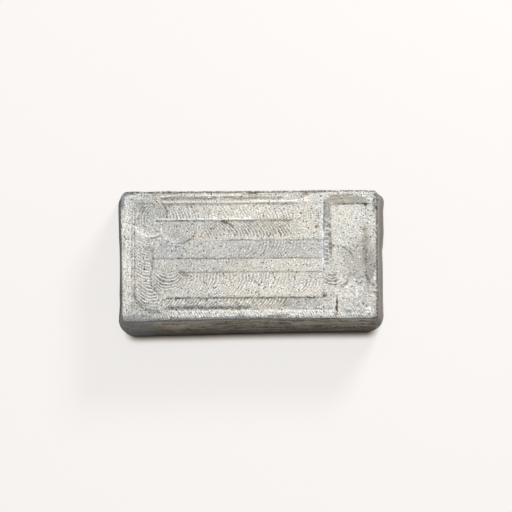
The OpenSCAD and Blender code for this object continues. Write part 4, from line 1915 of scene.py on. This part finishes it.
@dataclass(frozen=True)
class Studio:
    """Pale floor, soft lights and the camera."""

    floor_half: float = 3.0
    floor_colour: Colour = srgb(249, 246, 244)
    # Faint clouds in the floor: their size in metres, and how dull the floor is between them
    floor_cloud: float = 0.4
    floor_dull: float = 0.985
    floor_roughness: float = 0.85
    floor_specular: float = 0.2
    # How much of the floor that the camera sees glows evenly, which leaves the rest to take the shadow
    floor_glow: float = 1.0
    floor_glow_share: float = 0.84
    # Painted contact shadow: how near the brick the floor darkens, where in front of it, between which
    # shares of open sky, and its colour
    contact_reach: float = 0.008
    contact_front: Ramp = (-0.040, -0.054)
    contact_side: Ramp = (0.100, 0.088)
    contact_sky: Ramp = (0.98, 0.43)
    contact_shadow_colour: Colour = srgb(190, 172, 148)
    contact_samples: int = 16
    world_colour: Colour = srgb(255, 252, 248)
    world_strength: float = 0.27
    lamps: tuple[Lamp, ...] = (
        Lamp("key", azimuth=58.0, elevation=36.0, distance=1.6, size=0.45, power=29.6,
             colour=(1.0, 0.987, 0.966)),
        Lamp("overhead", azimuth=95.0, elevation=74.0, distance=1.8, size=0.9, power=5.5),
    )
    # Camera: distance to the face, lean off the vertical, and the pixel at which the face's middle shows
    distance: float = 3.95
    lean_front: float = 10.0
    lean_right: float = 2.3
    frame_px: float = 512.0
    face_px_per_mm: float = 1.315
    face_middle_px: tuple[float, float] = (248.75, 254.55)
    sensor: float = 36.0
    clip_end: float = 20.0

    def build(self, face_height: float) -> None:
        """Add the floor, the lights and the camera.

        Args:
            face_height: Height of the brick's planed face.
        """
        self.floor()
        self.world()
        target = Vector((0.0, 0.0, face_height))
        for lamp in self.lamps:
            lamp.build(target)
        self.camera(target)
        bpy.context.scene.view_settings.view_transform = "Standard"

    def floor(self) -> bpy.types.Object:
        """Add the floor.

        Returns:
            The floor's object.
        """
        half = self.floor_half
        corners = [(-half, -half, 0.0), (half, -half, 0.0), (half, half, 0.0), (-half, half, 0.0)]
        mesh = bpy.data.meshes.new("floor")
        mesh.from_pydata(corners, [], [range(len(corners))])
        made = bpy.data.objects.new("floor", mesh)
        bpy.context.scene.collection.objects.link(made)
        mesh.materials.append(self.floor_paint())
        return made

    def floor_paint(self) -> bpy.types.Material:
        """Build the floor's material, with faint clouds and a painted contact shadow along the brick's
        front.

        Returns:
            The material.
        """
        made = bpy.data.materials.new("pale_floor")
        canvas = cleared(made)
        place = canvas.use("ShaderNodeTexCoord", {}, "Object")
        cloud = canvas.noise(place, self.floor_cloud) * 0.5 + 0.5
        *levels, alpha = self.floor_colour
        dull = (*(level * self.floor_dull for level in levels), alpha)
        colour = canvas.mix(cloud, dull, self.floor_colour)
        paint = {
            "Base Color": colour,
            "Roughness": self.floor_roughness,
            "Specular IOR Level": self.floor_specular,
        }
        reach = {"Distance": self.contact_reach}
        sky = canvas.use("ShaderNodeAmbientOcclusion", reach, "AO", samples=self.contact_samples)
        x, y, _ = canvas.split(place)
        # Painted contact shadow in the glow that the camera sees, in front of the brick
        contact_shadow = canvas.smooth(sky, *self.contact_sky) * canvas.smooth(y, *self.contact_front)
        contact_shadow = contact_shadow * canvas.smooth(canvas.math("ABSOLUTE", x), *self.contact_side)
        glow = {
            "Color": canvas.mix(contact_shadow, colour, self.contact_shadow_colour),
            "Strength": (1.0 - contact_shadow) * self.floor_glow,
        }
        blend = {
            0: canvas.seen() * self.floor_glow_share,
            1: canvas.use("ShaderNodeBsdfPrincipled", paint),
            2: canvas.use("ShaderNodeEmission", glow),
        }
        out = canvas.node("ShaderNodeOutputMaterial")
        canvas.feed(out.inputs["Surface"], canvas.use("ShaderNodeMixShader", blend))
        return made

    def world(self) -> None:
        """Light the room evenly, and show it as white to the camera and in reflections."""
        made = bpy.data.worlds.new("studio")
        bpy.context.scene.world = made
        canvas = cleared(made)
        strength = canvas.seen() * (1.0 - self.world_strength) + self.world_strength
        back = {"Color": self.world_colour, "Strength": strength}
        out = canvas.node("ShaderNodeOutputWorld")
        canvas.feed(out.inputs["Surface"], canvas.use("ShaderNodeBackground", back))

    def camera(self, target: Vector) -> None:
        """Add the camera, which looks steeply down on the planed face.

        Args:
            target: Middle of the planed face.
        """
        data = bpy.data.cameras.new("camera")
        made = bpy.data.objects.new("camera", data)
        bpy.context.scene.collection.objects.link(made)
        lean_right, lean_front = math.radians(self.lean_right), math.radians(self.lean_front)
        away = Vector((math.tan(lean_right), -math.tan(lean_front), 1.0))
        away.normalize()
        px_per_m = self.face_px_per_mm * PER_MM
        middle = self.frame_px / 2.0
        offset_x = (middle - self.face_middle_px[0]) / px_per_m
        offset_y = (self.face_middle_px[1] - middle) / px_per_m / math.cos(lean_front)
        aim = target + Vector((offset_x, offset_y, 0.0))
        right = Vector((0.0, 1.0, 0.0)).cross(away).normalized()
        made.matrix_world = Matrix((right, away.cross(right), away)).transposed().to_4x4()
        made.location = aim + away * self.distance
        data.sensor_width = self.sensor
        data.lens = px_per_m * self.distance / self.frame_px * self.sensor
        data.clip_end = self.clip_end
        bpy.context.scene.camera = made


def main() -> None:
    """Build the brick and its studio."""
    logging.basicConfig(level=logging.INFO, format="%(name)s: %(message)s")
    low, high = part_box(NODE)
    size = high - low
    brick = LeadBrick(
        name="brick_casting",
        shell=BrickShell(length=size.x, width=size.y, height=size.z),
        relief=Relief(marks=FLOORS + HOOKS + PASSES + RINGS + RIMS + LINES + DENTS + CHAINS + TARNISH),
        finish=LeadFinish(),
    )
    made = brick.build()
    triangles = sum(len(face.vertices) - 2 for face in made.data.polygons)
    LOG.info("%s: %d triangles", made.name, triangles)
    Studio().build(high.z)
    LOG.info("studio: floor, lights and camera")


if __name__ == "__main__":
    main()
